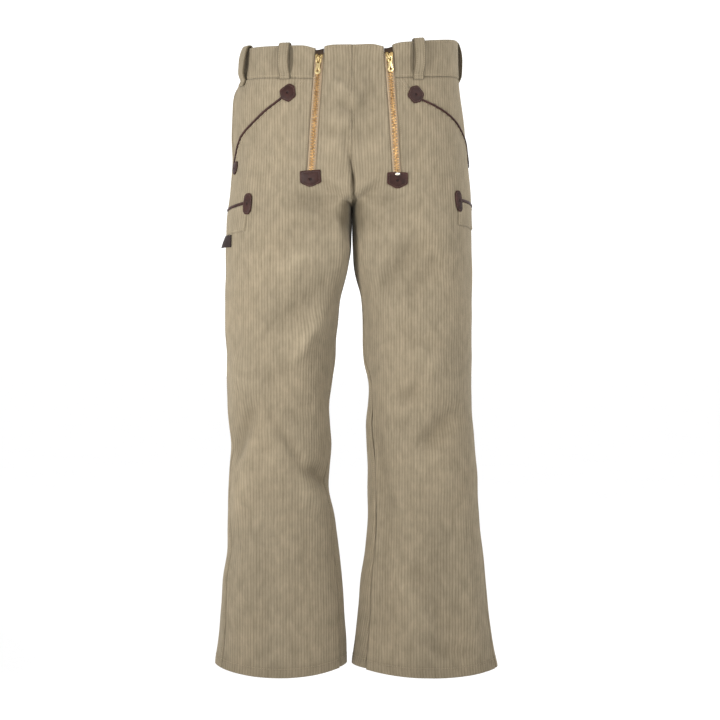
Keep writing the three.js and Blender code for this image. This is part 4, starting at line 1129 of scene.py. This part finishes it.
def leather_tab(name, leg, shape, reach, level, angle, lift=0.7):
    """A tab on the cloth. lift may be a number or a function of the reach."""
    outline = upright(leg, reach, level, turned(rounded_outline(TAB_SHAPES[shape]), angle))
    raised = lift if callable(lift) else (lambda r: np.full(len(r), float(lift)))
    rings, worn = [], []
    for share, height in TAB_RINGS:
        across, up = (outline * share).T
        place, normal = on_cloth(leg, reach + across, level + up)
        rings.append(place + normal * (raised(reach + across) + height)[:, None])
        # The rim ring is marked lighter, as worn leather, and the dimple in the middle darker.
        worn.append(np.full(len(outline), 0.5 if 0.9 < share < 1 else (1.0 if share < 0.16 else 0.0)))
    middle, normal = on_cloth(leg, [reach], [level])
    top = middle + normal * (raised(np.array([reach])) + TAB_RINGS[-1][1] - 0.03)
    below = middle + normal * raised(np.array([reach]))
    count = len(outline)
    faces = []
    for i in range(len(TAB_RINGS) - 1):
        for k in range(count):
            a, b = i * count + k, i * count + (k + 1) % count
            faces.append([a, b, b + count, a + count])
    last = (len(TAB_RINGS) - 1) * count
    for k in range(count):
        faces.append([last + k, last + (k + 1) % count, len(TAB_RINGS) * count])
        faces.append([(k + 1) % count, k, len(TAB_RINGS) * count + 1])
    if SIDE[leg] < 0:
        faces = [face[::-1] for face in faces]
    points = np.concatenate(rings + [top, below])
    made = mesh_object(name, points, faces, LEATHER, shades={"worn": np.concatenate(worn + [[1.0], [0.0]])})
    seam = (reach + outline[:, 0] * STITCH_RING, level + outline[:, 1] * STITCH_RING)
    return made, seam, raised(seam[0]) + 1.5


# %% Rolled leather edges
PIPE_WIDTH = 3.8
RULE_PIPE_WIDTH = 5.4
PIPE_HEIGHT = 2.4


def rolled_edge(name, leg, reach, level, lift, width=PIPE_WIDTH):
    """A half-round strip along a line on the cloth."""
    place, normal = on_cloth(leg, reach, level)
    across = unit(np.cross(unit(np.gradient(place, axis=0)), normal))
    turns = np.linspace(0, math.pi, 11)
    sides = [(math.cos(t) * width / 2, abs(math.sin(t)) ** 0.6 * PIPE_HEIGHT) for t in turns]
    lifts = np.broadcast_to(lift, len(place))
    rings = [place + across * a + normal * (h + lifts)[:, None] for a, h in sides]
    points = np.stack(rings, 1).reshape(-1, 3)
    faces = bar_faces(len(place), len(sides))
    return mesh_object(name, points, faces, LEATHER, shades={"worn": np.full(len(points), 0.15)})


# %% Sew the leather on
ZIP_TAB_DROP = {"left": 11, "right": 6}
MOUTH_TABS = {
    "left": {"upper": (137, -63, -13), "lower": (6, -170, -12)},
    "right": {"upper": (131, -60, 0), "lower": (14, -187, -12)},
}
RULE_TAB_IN = 2.5
tabs, edges, tab_seams = {}, {}, []


def sew_tab(node, name, leg, *shape_and_place):
    tabs[node], seam, lift = leather_tab(name, leg, *shape_and_place)
    tab_seams.append((leg, *seam, lift))


def over_pocket(leg):
    """The tab's underside steps up from the panel onto the rule pocket."""
    front = RULE_POCKETS[leg]["front"]
    return lambda reach: mix(0.9, POCKET_LIFT + POCKET_THICK - 0.2, ease((reach + front + 9) / 7))


for leg in SIDE:
    level = ZIP_END - ZIP_TAB_DROP[leg]
    sew_tab(f"zip_end_patch_{leg}", f"zip_end_tab_{leg}", leg, "zip", float(zip_reach(leg, level)), level, 0)
    for part, shape in (("upper", "pocket"), ("lower", "seam")):
        side, level, angle = MOUTH_TABS[leg][part]
        sew_tab(f"pocket_patch_{part}_{leg}", f"pocket_tab_{part}_{leg}", leg, shape, -side, level, angle)
    pocket = RULE_POCKETS[leg]
    place = (RULE_TAB_IN - pocket["front"], pocket["top"][1], -90)
    sew_tab(f"rule_pocket_patch_{leg}", f"rule_pocket_tab_{leg}", leg, "rule", *place, over_pocket(leg))

    upper, lower = MOUTH_TABS[leg]["upper"], MOUTH_TABS[leg]["lower"]
    mouth = even_levels(upper[1] - 3, lower[1] + 2, 2)
    reach = mouth_reach(leg, mouth)
    edges[f"pocket_piping_{leg}"] = rolled_edge(f"pocket_edge_{leg}", leg, reach, mouth, -0.2)
    reach = np.linspace(-pocket["front"] + 4, -1, 30)
    level = rule_pocket_level(leg, reach, 0) + RULE_PIPE_WIDTH / 2
    edges[f"rule_pocket_piping_{leg}"] = rolled_edge(
        f"rule_pocket_edge_{leg}", leg, reach, level, 0.0, RULE_PIPE_WIDTH)
print("leather:", len(tabs), "tabs and", len(edges), "rolled edges")

# %% [markdown]
# ## Zips
# Each zip lies in the slot between the flap and the leg: two woven tapes with a corded edge, a chain of brass
# teeth that grip each other in turn, a slider at the top and its pull. Teeth are one small block, repeated
# along the chain as one joined mesh. The pull hangs on the slider and is a body of its own, so it can swing.

# %% Tape and brass
def twill(tree, scale, distortion=0.0):
    """Slanting lines about a millimetre apart, as on woven tape."""
    vector = cloth_vector(tree, 1000, 1000)
    slant = {"bands_direction": "DIAGONAL"}
    return add_node(
        tree, "ShaderNodeTexWave", slant, Vector=vector, Scale=scale, Distortion=distortion
    ).outputs["Fac"]


def tape_finish():
    material, tree, shader = new_material("zip_tape", roughness=0.8, sheen=0.1, specular=0.2)
    weave = twill(tree, scale=1.1, distortion=0.6)
    rough = noise(tree, cloth_vector(tree, 500, 160), detail=3)
    colour = ramp(tree, weave, [(0.2, (0.26, 0.192, 0.122)), (0.8, (0.35, 0.272, 0.186))])
    colour = tint(tree, colour, rough, [(0.3, (0.86, 0.84, 0.8)), (0.7, (1.1, 1.08, 1.06))])
    # Painted shade: the tape's top, above the slider, darkens to nearly black.
    shade = attribute(tree, "shade")
    colour = tint(tree, colour, shade, [(0.0, (1, 1, 1)), (1.0, (0.1, 0.075, 0.06))])
    tree.links.new(colour, shader.inputs["Base Color"])
    add_bump(tree, shader, weave, 0.3, 0.0003)
    return material


def brass_finish(name, dark, light, roughness, cells=420):
    material, tree, shader = new_material(name, roughness=roughness, metallic=0.9, specular=0.5)
    place = object_place(tree)
    cloudy = noise(tree, place, scale=cells, detail=4)
    tree.links.new(ramp(tree, cloudy, [(0.3, dark), (0.7, light)]), shader.inputs["Base Color"])
    add_bump(tree, shader, noise(tree, place, scale=2500, detail=2), 0.05, 0.0001)
    return material


TAPE = tape_finish()
BRASS = brass_finish("polished_brass", (0.7, 0.52, 0.23), (0.95, 0.78, 0.42), 0.3)
# The slider's plate is the same brass as its ribs and pull, painted darker as shade beneath them.
SHADED_BRASS = brass_finish("aged_brass", (0.17, 0.105, 0.035), (0.36, 0.24, 0.09), 0.36)
TOOTH_BRASS = brass_finish("tooth_brass", (0.2, 0.09, 0.024), (0.86, 0.56, 0.25), 0.42, cells=240)
PALE_METAL = brass_finish("pale_metal", (0.8, 0.74, 0.62), (0.95, 0.9, 0.8), 0.35)
print("made", TAPE.name, BRASS.name, SHADED_BRASS.name, TOOTH_BRASS.name, PALE_METAL.name)

# %% Tapes and teeth
TAPE_TOP = 21
TAPE_PROFILE = [
    (-7.2, -1.1), (-6.6, -0.6), (-5.6, -0.5), (-5.2, 0.05), (-4.6, 0.2), (-4.0, -0.2), (-0.4, -0.7),
]
TAPE_BACK = -1.7
TOOTH_PITCH = 2.1
TOOTH = {"inner": -1.4, "outer": 4.2, "half_length": 0.72, "foot": -0.4, "top": 1.25, "chamfer": 0.3}


def along_zip(leg, across, level, lift):
    """Points beside the middle line of a zip."""
    across, level, lift = np.broadcast_arrays(across, level, lift)
    place, normal = on_cloth(leg, zip_reach(leg, level) + across, level)
    return place + normal * lift.ravel()[:, None], normal


def zip_tapes(leg):
    profile = TAPE_PROFILE + [(-a, h) for a, h in reversed(TAPE_PROFILE)]
    across, height = np.array(profile).T
    levels = even_levels(TAPE_TOP, ZIP_END - 4, 5)
    outer, _ = along_zip(leg, across[None, :], levels[:, None], height[None, :])
    inner, _ = along_zip(leg, across[None, :], levels[:, None], TAPE_BACK)
    faces = grid_faces(len(levels), len(across)).tolist()
    uv = np.stack([np.tile(across, len(levels)), np.repeat(levels, len(across))], 1)
    closed = closed_faces(faces, len(outer), SIDE[leg] > 0)
    # The tape above the slider is painted nearly black, as the shade inside the open top of the slot.
    shade = np.tile(ease((uv[:, 1] - 5) / 7), 2)
    walls = np.concatenate([outer, inner])
    return mesh_object(f"zip_tape_{leg}", walls, closed, TAPE, np.concatenate([uv, uv]), {"shade": shade})


def zip_teeth(leg):
    """Blocks that reach from one cord over the middle, left and right in turn."""
    levels = np.arange(6.0, ZIP_END + 2, -TOOTH_PITCH)
    hand = np.where(np.arange(len(levels)) % 2, 1, -1)
    top, chamfer = TOOTH["top"], TOOTH["chamfer"]
    points = []
    for height, inset in ((TOOTH["foot"], 0), (top - chamfer, 0), (top, chamfer)):
        near, far = TOOTH["inner"] + inset, TOOTH["outer"] - inset
        half = TOOTH["half_length"] - inset * 0.8
        for across, down in ((near, -half), (far, -half), (far, half), (near, half)):
            place, _ = along_zip(leg, hand * across, levels - down, height)
            points.append(place)
    points = np.stack(points, 1)
    block = [[0, 1, 2, 3], [11, 10, 9, 8]]
    block += [[i + k, i + 4 + k, i + 4 + (k + 1) % 4, i + (k + 1) % 4] for i in (0, 4) for k in range(4)]
    faces = []
    for tooth, side in enumerate(hand):
        flip = side * SIDE[leg] > 0
        for face in block:
            corners = [tooth * 12 + v for v in face]
            faces.append(corners[::-1] if flip else corners)
    return mesh_object(f"zip_teeth_{leg}", points.reshape(-1, 3), faces, TOOTH_BRASS, smooth=False)


# %% A bevelled plate from an outline
def zip_frame(leg, level):
    """The place and the directions across, up and out of a zip at a level."""
    reach = zip_reach(leg, np.array([level, level + 4, level - 4], float))
    place, normal = on_cloth(leg, reach, [level, level + 4, level - 4])
    up = unit(place[1] - place[2])
    across = unit(np.cross(up, normal[0]))
    return place[0], across, up, np.cross(across, up)


def in_frame(zip_place, points):
    origin, across, up, out = zip_place
    points = np.asarray(points, float)
    return origin + points[:, :1] * across + points[:, 1:2] * up + points[:, 2:] * out


def curve_mesh(name, outlines, thickness=0.0, bevel=0.0, flat=True):
    """Points and faces of a curve object: a filled plate with holes, or a round bar along an open line."""
    curve = bpy.data.curves.new(name, "CURVE")
    curve.dimensions = "2D" if flat else "3D"
    curve.fill_mode = "BOTH" if flat else "FULL"
    curve.extrude = max(0.0, thickness / 2 - bevel)
    curve.bevel_depth = bevel
    curve.bevel_resolution = 3
    curve.offset = -bevel if flat else 0
    curve.use_fill_caps = not flat
    for points in outlines:
        spline = curve.splines.new("POLY")
        spline.points.add(len(points) - 1)
        for point, place in zip(spline.points, points):
            point.co = (*place, 0, 1) if len(place) == 2 else (*place, 1)
        spline.use_cyclic_u = flat
    holder = bpy.data.objects.new(name, curve)
    mesh = bpy.data.meshes.new_from_object(holder)
    points = np.array([v.co for v in mesh.vertices], float)
    faces = [list(p.vertices) for p in mesh.polygons]
    _, first, index = np.unique(np.round(points, 4), axis=0, return_index=True, return_inverse=True)
    index = index.reshape(-1)
    faces = [[int(index[v]) for v in face] for face in faces]
    faces = [face for face in faces if len(set(face)) == len(face)]
    bpy.data.objects.remove(holder)
    return points[first], faces


def joined(name, parts, zip_place, material):
    """Several point and face lists as one object standing on a zip."""
    points, faces, base = [], [], 0
    for part_points, part_faces in parts:
        points.append(part_points)
        faces += [[base + v for v in face] for face in part_faces]
        base += len(part_points)
    return mesh_object(name, in_frame(zip_place, np.concatenate(points)), faces, material)


def arc(cx, cy, radius, start, end, count=12):
    turns = np.radians(np.linspace(start, end, count))
    return [(cx + radius * math.cos(t), cy + radius * math.sin(t)) for t in turns]


def mirrored(right):
    """The left side of an outline, from its right side, in the order that closes it."""
    return [(-x, y) for x, y in reversed(right)]


def stood_off(plate, height):
    points, faces = plate
    return points + np.array([0, 0, height]), faces


# %% Sliders, pulls and the bottom stop
SLIDER_LEVEL = -1
SLIDER = {"top": 13, "foot": 9.5, "height": 17, "plate": 1.6, "lift": 1.2}
ARCH_CLEAR = 2.8
PLATE_TOP = SLIDER["lift"] + SLIDER["plate"]
BAR_HEIGHT = PLATE_TOP + ARCH_CLEAR / 2
PULL = {
    "wall": 1.3, "width": 7.6, "end": 9.6, "length": 27, "window": 4.2, "window_length": 7.2, "hole": 1.9,
    "top": 1.1,
}


def slider_parts():
    top, foot, height = SLIDER["top"] / 2, SLIDER["foot"] / 2, SLIDER["height"] / 2
    right = [
        (foot - 1.2, -height), (foot, -height + 1.6), (foot + 0.5, -1), (top, height - 4.5),
        (top - 0.3, height - 1.6), (top - 2, height - 0.4), (1.9, height - 0.6),
    ]
    outline = right + [(0, height - 3.6)] + mirrored(right)
    plate = curve_mesh("plate", [outline], SLIDER["plate"], 0.4)
    parts = []
    for side in (-1, 1):
        rail = [(foot - 0.5, -height + 2), (foot - 0.3, 0), (top - 1, height - 3)]
        rail = [(side * x, y, PLATE_TOP - 0.1) for x, y in rail]
        parts.append(curve_mesh("rail", [rail], bevel=0.5, flat=False))
        arm = [(0, -1.5, PLATE_TOP), (side * 2.4, height - 6, PLATE_TOP), (side * 4.6, height - 2, PLATE_TOP)]
        parts.append(curve_mesh("arm", [arm], bevel=0.55, flat=False))
    crown = PLATE_TOP + ARCH_CLEAR + 0.5
    hoop = [(0, -4.6, PLATE_TOP - 0.4), (0, -4.5, crown - 1.2), (0, -3.4, crown), (0, 3.4, crown)]
    hoop += [(0, 4.5, crown - 1.2), (0, 4.6, PLATE_TOP - 0.4)]
    parts.append(curve_mesh("hoop", [hoop], bevel=0.62, flat=False))
    return [stood_off(plate, SLIDER["lift"] + SLIDER["plate"] / 2)], parts


def pull_parts():
    width, end, length = PULL["width"] / 2, PULL["end"] / 2, PULL["length"]
    neck = -PULL["window_length"] - 3.5
    right = [
        (width - 1, PULL["top"]), (width, PULL["top"] - 1), (width - 0.2, -5), (width - 0.9, neck),
        (width - 0.4, neck - 4), (end - 0.2, -length + 7),
    ]
    right += arc(0, -length + end + 0.6, end + 0.1, -4, -82, 8)
    outline = right + mirrored(right)
    window, foot = PULL["window"] / 2, -PULL["window_length"] + 1
    opening = [(-window, -0.75), (-window, foot)]
    opening += arc(0, foot, window, 180, 360, 9)[1:-1]
    opening += [(window, foot), (window, -0.75)]
    eye = arc(0, -length + 6.2, PULL["hole"], -215, 35, 14) + [(0, -length + 6.2 + 2.4 * PULL["hole"])]
    return curve_mesh("tab", [outline, opening, eye], PULL["wall"], 0.3)


def bottom_stop(leg):
    turns = np.linspace(0, 2 * math.pi, 20, endpoint=False)
    oval = [(4.3 * math.cos(t), 2.3 * math.sin(t)) for t in turns]
    bead = stood_off(curve_mesh("stop", [oval], 2.4, 0.6), 2.3)
    return joined(f"zip_stop_{leg}", [bead], zip_frame(leg, ZIP_END + 4), PALE_METAL)


def slider_frame(leg):
    """The slider stands so that the pull's bar lies on the hinge line of the frame."""
    hinge = next(j for j in frame["joints"] if j["name"] == f"pull_{leg}_hinge")
    origin, across, up, _ = zip_frame(leg, SLIDER_LEVEL)
    pin, line = np.array(hinge["pos_m"]) / MM, np.array(hinge["axis"])
    line = line * np.sign(line @ across)
    out = unit(np.cross(line, up))
    pin = pin + line * ((origin - pin) @ line)
    return pin - out * BAR_HEIGHT, line, np.cross(out, line), out


zips = {}
for leg in SIDE:
    place = slider_frame(leg)
    pull = stood_off(pull_parts(), BAR_HEIGHT)
    zips["tape", leg] = zip_tapes(leg)
    zips["teeth", leg] = zip_teeth(leg)
    body, ribs = slider_parts()
    # The plate gets the darker brass as painted shade; the ribs and the pull above it stay light.
    zips["slider", leg] = joined(f"slider_{leg}", body, place, SHADED_BRASS)
    zips["ribs", leg] = joined(f"slider_ribs_{leg}", ribs, place, BRASS)
    zips["pull", leg] = joined(f"pull_tab_{leg}", [pull], place, BRASS)
zips["stop", "left"] = bottom_stop("left")
print("zip pieces:", len(zips))

# %% [markdown]
# ## Label
# A short folded tape is caught in the stitches under one rule pocket. It is left plain: it carries no words.

# %% Label
LABEL = {"front": 37.5, "back": 13, "drop": 20.5, "wall": 1.3, "weave": 21}


def label_finish():
    material, tree, shader = new_material("label_tape", roughness=0.65, sheen=0.0, specular=0.1)
    weave = twill(tree, scale=0.9)
    shine = noise(tree, cloth_vector(tree, 120, 120), detail=3)
    colour = ramp(tree, weave, [(0.2, (0.018, 0.013, 0.012)), (0.8, (0.036, 0.025, 0.024))])
    colour = tint(tree, colour, shine, [(0.3, (0.85, 0.85, 0.85)), (0.7, (1.25, 1.2, 1.2))])
    tree.links.new(colour, shader.inputs["Base Color"])
    add_bump(tree, shader, weave, 0.3, 0.0003)
    return material


def side_label(leg):
    top = RULE_POCKETS[leg]["bottom"][1] - 4
    t = np.linspace(0, 1, 13)
    across, down = np.meshgrid(t, t)
    front = mix(-LABEL["front"], -LABEL["front"] - 1, down)
    back = mix(-LABEL["back"], -LABEL["back"] + 4, down)
    reach = mix(front, back, across)
    lift = mix(mix(1.3, 3.0, across), mix(1.8, 8.6, across), down) + 0.4 * np.sin(math.pi * down) * across
    swell = LABEL["wall"] * (0.75 + 0.5 * down) * (0.5 + 0.5 * np.sin(math.pi * np.clip(across, 0.12, 0.88)))
    place, normal = on_cloth(leg, reach, top - LABEL["drop"] * down)
    outer = place + normal * (lift + swell).ravel()[:, None]
    inner = place + normal * (lift - 0.1).ravel()[:, None]
    closed = closed_faces(grid_faces(*across.shape).tolist(), across.size, SIDE[leg] > 0)
    uv = LABEL["weave"] * np.tile(np.stack([across.ravel(), down.ravel()], 1), (2, 1))
    return mesh_object("side_label_tape", np.concatenate([outer, inner]), closed, label_finish(), uv)


label = side_label("right")

# %% [markdown]
# ## Topstitching
# Workwear is sewn with strong thread in double rows, and each stitch is a short curved bead that sinks at
# both ends. One bead is made from a few rings and copied along every seam line, so the rows follow the cloth.

# %% A row of stitches
BEAD_RINGS = ((-0.5, 0.02), (-0.36, 0.8), (0.0, 1.0), (0.36, 0.8), (0.5, 0.02))
BEAD_SIDES = 5
THREAD_RADIUS = 0.42
STITCH_PITCH = 3.3
STITCH_LENGTH = 2.7
ON_WALES = 0.3


def stitch_row(leg, reach, level, lift=ON_WALES, pitch=STITCH_PITCH, closed=False):
    """Points of all the beads along one line on the cloth, ring by ring."""
    reach, level = (np.array(a, float) for a in np.broadcast_arrays(reach, level))
    lift = np.broadcast_to(lift, len(reach)).astype(float)
    if closed:
        reach, level, lift = (np.append(a, a[0]) for a in (reach, level, lift))
    rough, _ = on_cloth(leg, reach, level)
    length = np.concatenate([[0], np.cumsum(np.linalg.norm(np.diff(rough, axis=0), axis=1))])
    count = max(1, int(length[-1] / pitch))
    middle = (np.arange(count) + 0.5) * length[-1] / count

    def at(distance):
        r, z, h = (np.interp(distance, length, a) for a in (reach, level, lift))
        place, normal = on_cloth(leg, r, z)
        return place, normal, h

    place, normal, height = at(middle)
    before, after = at(middle - pitch / 3)[0], at(middle + pitch / 3)[0]
    along = unit(after - before)
    beside = np.cross(along, normal)
    beads = []
    for share, width in BEAD_RINGS:
        sunk = height - 0.9 * (2 * share) ** 2 * THREAD_RADIUS
        centre = place + along * share * STITCH_LENGTH * pitch / STITCH_PITCH + normal * sunk[:, None]
        for k in range(BEAD_SIDES):
            turn = 2 * math.pi * k / BEAD_SIDES
            spoke = beside * math.cos(turn) + normal * math.sin(turn)
            beads.append(centre + spoke * THREAD_RADIUS * width)
    return np.stack(beads, 1)


def sewn(name, rows, material):
    """All the rows of one seam as a single mesh."""
    beads = np.concatenate(rows)
    pattern = [np.array(face) for face in bar_faces(len(BEAD_RINGS), BEAD_SIDES)]
    step = len(BEAD_RINGS) * BEAD_SIDES
    faces = [(face + i * step).tolist() for i in range(len(beads)) for face in pattern]
    made = mesh_object(name, beads.reshape(-1, 3), faces, material)
    print(name, len(beads), "stitches")
    return made


# %% Where the stitches run
ROWS = (2.8, 7.0)


def leg_stitches(leg):
    below = np.arange(SEAT_TOP - 3.0, HEM_LEVEL + 2, -6)
    whole = np.arange(TOP_LEVEL - 3.0, CROTCH_LEVEL - 10, -6)
    inner = np.arange(CROTCH_LEVEL - 20.0, HEM_LEVEL + 2, -6)
    zipped = np.arange(TOP_LEVEL - 3.0, ZIP_END + 4, -6)
    seated = np.arange(SEAT_TOP - 3.0, ZIP_END + 4, -6)
    mouth = np.arange(SEAT_TOP - 3.0, mouth_end(leg), -3)
    seat = whole[10:]
    lines = []
    for distance in ROWS:
        lines += [
            (distance, below),
            (back_edge(leg, inner) - distance, inner),
            (back_edge(leg, seat) - distance, seat),
            (mouth_reach(leg, mouth) - distance - 2.4, mouth),
        ]
    lines += [
        (front_edge(leg, whole) + 3.2, whole),
        (zip_reach(leg, zipped) - ZIP_SLOT / 2 - 3.0, zipped),
        (zip_reach(leg, seated) + ZIP_SLOT / 2 + 3.0, seated),
    ]
    hem = float(HEM_LEVEL + HEM_STITCH)
    lines.append((np.linspace(float(front_edge(leg, hem)) + 1, float(back_edge(leg, hem)) - 1, 160), hem))
    return [stitch_row(leg, reach, level) for reach, level in lines]


def band_stitches(leg):
    rows = []
    top = TOP_LEVEL - 3.0
    for level in (top, WAIST_SEAM + 3.2):
        start = float(zip_reach(leg, level)) + ZIP_SLOT / 2 + 2
        rows.append(stitch_row(leg, np.linspace(start, float(back_edge(leg, level)) - 2, 120), level))
    beside_zip = np.arange(TOP_LEVEL - 4.0, WAIST_SEAM + 4, -6)
    rows.append(stitch_row(leg, zip_reach(leg, beside_zip) + ZIP_SLOT / 2 + 3.0, beside_zip))
    flap = np.linspace(float(front_edge(leg, top)) + 2, float(zip_reach(leg, top)) - 10, 40)
    rows.append(stitch_row(leg, flap, top))
    return rows


def pocket_stitches(leg):
    front = RULE_POCKETS[leg]["front"]
    lift = POCKET_LIFT + POCKET_THICK + 0.3
    across = np.linspace(-front + 3, -12, 40)
    rows = [stitch_row(leg, across, rule_pocket_level(leg, across, share), lift) for share in (0.1, 0.93)]
    along_front = np.full(20, -front + 3.0)
    level = rule_pocket_level(leg, along_front, np.linspace(0.12, 0.9, 20))
    rows.append(stitch_row(leg, along_front, level, lift))
    return rows


def loop_stitches(leg, foot, x=None, side=None, back=False):
    """Two rows along the strap and a dense bar across its sewn foot."""
    path = loop_path(foot)[:-8]
    middle = np.full(len(path), -float(side)) if x is None else reach_at_x(leg, float(x), path[:, 0], back)
    rows = []
    for offset in (-6.3, 6.3):
        rows.append(stitch_row(leg, middle + offset, path[:, 0], path[:, 1] + LOOP["wall"] / 2 + 0.35))
    for level in (foot + 2.0, foot + 3.2, foot + 7.5):
        across = float(np.interp(level, path[:, 0], middle)) + np.linspace(-8, 8, 12)
        rows.append(stitch_row(leg, across, level, 1.9 + LOOP["wall"] / 2 + 0.45, pitch=1.9))
    return rows


seams = {}
for leg in SIDE:
    seams[f"leg_stitching_{leg}"] = sewn(f"leg_stitching_{leg}", leg_stitches(leg), SEAM_THREAD)
    trim_rows = band_stitches(leg) + pocket_stitches(leg)
    for place in LOOP_PLACES.values():
        if place["leg"] == leg:
            trim_rows += loop_stitches(**place)
    seams[f"trim_stitching_{leg}"] = sewn(f"trim_stitching_{leg}", trim_rows, SEAM_THREAD)
    leather_rows = [
        stitch_row(leg, reach, level, lift - 0.05, pitch=2.6, closed=True)
        for owner, reach, level, lift in tab_seams
        if owner == leg
    ]
    seams[f"leather_stitching_{leg}"] = sewn(f"leather_stitching_{leg}", leather_rows, LEATHER_THREAD)

# %% [markdown]
# ## Studio
# The floor is a wide pale sheet and the world behind it is white, both so bright that they run into each
# other without a line. The world is dimmer in front of the garment, and a large lamp stands at each side, one
# brighter than the other: light from the sides draws the wales and folds, which an even light would wash out.

# %% Camera, world, lamps and floor
CAMERA_PLACE = (0.0138, -2.6, -0.512)
FRAME_WIDTH = 1.238
SENSOR = 36.0
FLOOR_LEVEL = -1.2
LAMPS = [
    ("key", (-1.35, -1.5, -0.45), 0.6, 7.4),
    ("fill", (1.3, -1.6, 0.55), 0.7, 4.7),
]
LAMP_SPREAD = 75
LAMPS_AIM = (0, 0, -0.25)
WORLD_STRENGTH = 1.3
FLOOR_REACH = 60000


def studio():
    scene = bpy.context.scene
    camera = bpy.data.cameras.new("camera")
    camera.sensor_width = SENSOR
    camera.lens = SENSOR * -CAMERA_PLACE[1] / FRAME_WIDTH
    holder = bpy.data.objects.new("camera", camera)
    holder.location = CAMERA_PLACE
    holder.rotation_euler = (math.pi / 2, 0, 0)
    scene.collection.objects.link(holder)
    scene.camera = holder
    scene.view_settings.view_transform = "Standard"

    world = bpy.data.worlds.new("studio")
    world.use_nodes = True
    tree = world.node_tree
    place = add_node(tree, "ShaderNodeTexCoord").outputs["Generated"]
    parts = add_node(tree, "ShaderNodeSeparateXYZ", Vector=place)
    behind = add_node(tree, "ShaderNodeMapRange", Value=parts.outputs["Y"], From_Min=-1.0, From_Max=0.4)
    greys = [(0.0, (0.22, 0.22, 0.23)), (0.6, (0.8, 0.8, 0.8)), (1.0, (1, 1, 1))]
    white = ramp(tree, behind.outputs["Result"], greys)
    tree.links.new(white, tree.nodes["Background"].inputs["Color"])
    tree.nodes["Background"].inputs["Strength"].default_value = WORLD_STRENGTH
    scene.world = world

    for name, spot, size, watts in LAMPS:
        lamp = bpy.data.lights.new(name, "AREA")
        lamp.energy = watts
        lamp.size = size
        lamp.spread = math.radians(LAMP_SPREAD)
        lit = bpy.data.objects.new(name, lamp)
        lit.location = spot
        aim = Vector(LAMPS_AIM) - Vector(spot)
        lit.rotation_euler = aim.to_track_quat("-Z", "Y").to_euler()
        scene.collection.objects.link(lit)

    paper, tree, shader = new_material("floor_paper", roughness=0.9, specular=0.1)
    grain = noise(tree, add_node(tree, "ShaderNodeNewGeometry").outputs["Position"], scale=3)
    pale = ramp(tree, grain, [(0.0, (0.96, 0.96, 0.96)), (1.0, (0.98, 0.98, 0.98))])
    tree.links.new(pale, shader.inputs["Base Color"])
    signs = ((-1, -1), (1, -1), (1, 1), (-1, 1))
    corners = [(x * FLOOR_REACH, y * FLOOR_REACH, FLOOR_LEVEL / MM) for x, y in signs]
    floor = mesh_object("floor", corners, [[0, 1, 2, 3]], paper, smooth=False)


studio()

# %% [markdown]
# ## Hand over to the frame
# Every piece is tied to the body of the frame that carries it, and where it stands for a solid, that solid is
# hidden. The table of sheets lists the size that each sheet of cloth was cut to, in metres.

# %% Tie the pieces to the frame
SHEETS = {
    ("front", "left"): (0.344, 1.08, 0.262, "front_left"),
    ("front", "right"): (0.320, 1.08, 0.250, "front_right"),
    ("back", "left"): (0.378, 1.023, 0.331, "back_left"),
    ("back", "right"): (0.387, 1.023, 0.351, "back_right"),
    ("facing", "left"): (0.152, 0.139, 0.0112, "pocket_facing_left"),
    ("facing", "right"): (0.146, 0.151, 0.0112, "pocket_facing_right"),
    ("band", "left"): (0.410, 0.057, None, "waistband_left"),
    ("band", "right"): (0.420, 0.057, None, "waistband_right"),
}
for key, (width, length, area, node) in SHEETS.items():
    piece = panels[key]
    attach(piece, "garment")
    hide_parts(node)


def tie(piece, node, body="garment"):
    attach(piece, body)
    if node:
        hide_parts(node)


for leg in SIDE:
    tie(rule_pockets[leg], f"rule_pocket_{leg}")
    tie(zips["tape", leg], f"zip_{leg}")
    tie(zips["teeth", leg], None)
    tie(zips["ribs", leg], None)
    tie(zips["slider", leg], f"zip_slider_{leg}")
    tie(zips["pull", leg], f"zip_pull_{leg}", f"pull_{leg}")
tie(zips["stop", "left"], None)
for name, piece in loops.items():
    tie(piece, f"belt_loop_{name}")
for node, piece in {**tabs, **edges}.items():
    tie(piece, node)
tie(label, "side_label")
for name, piece in seams.items():
    tie(piece, None)

groups = (panels, rule_pockets, loops, tabs, edges, zips, seams, {"label": label})
pieces = [piece for group in groups for piece in group.values()]
counts = [sum(len(face.vertices) - 2 for face in piece.data.polygons) for piece in pieces]
print("triangles:", sum(counts), "the most in one piece:", max(counts))
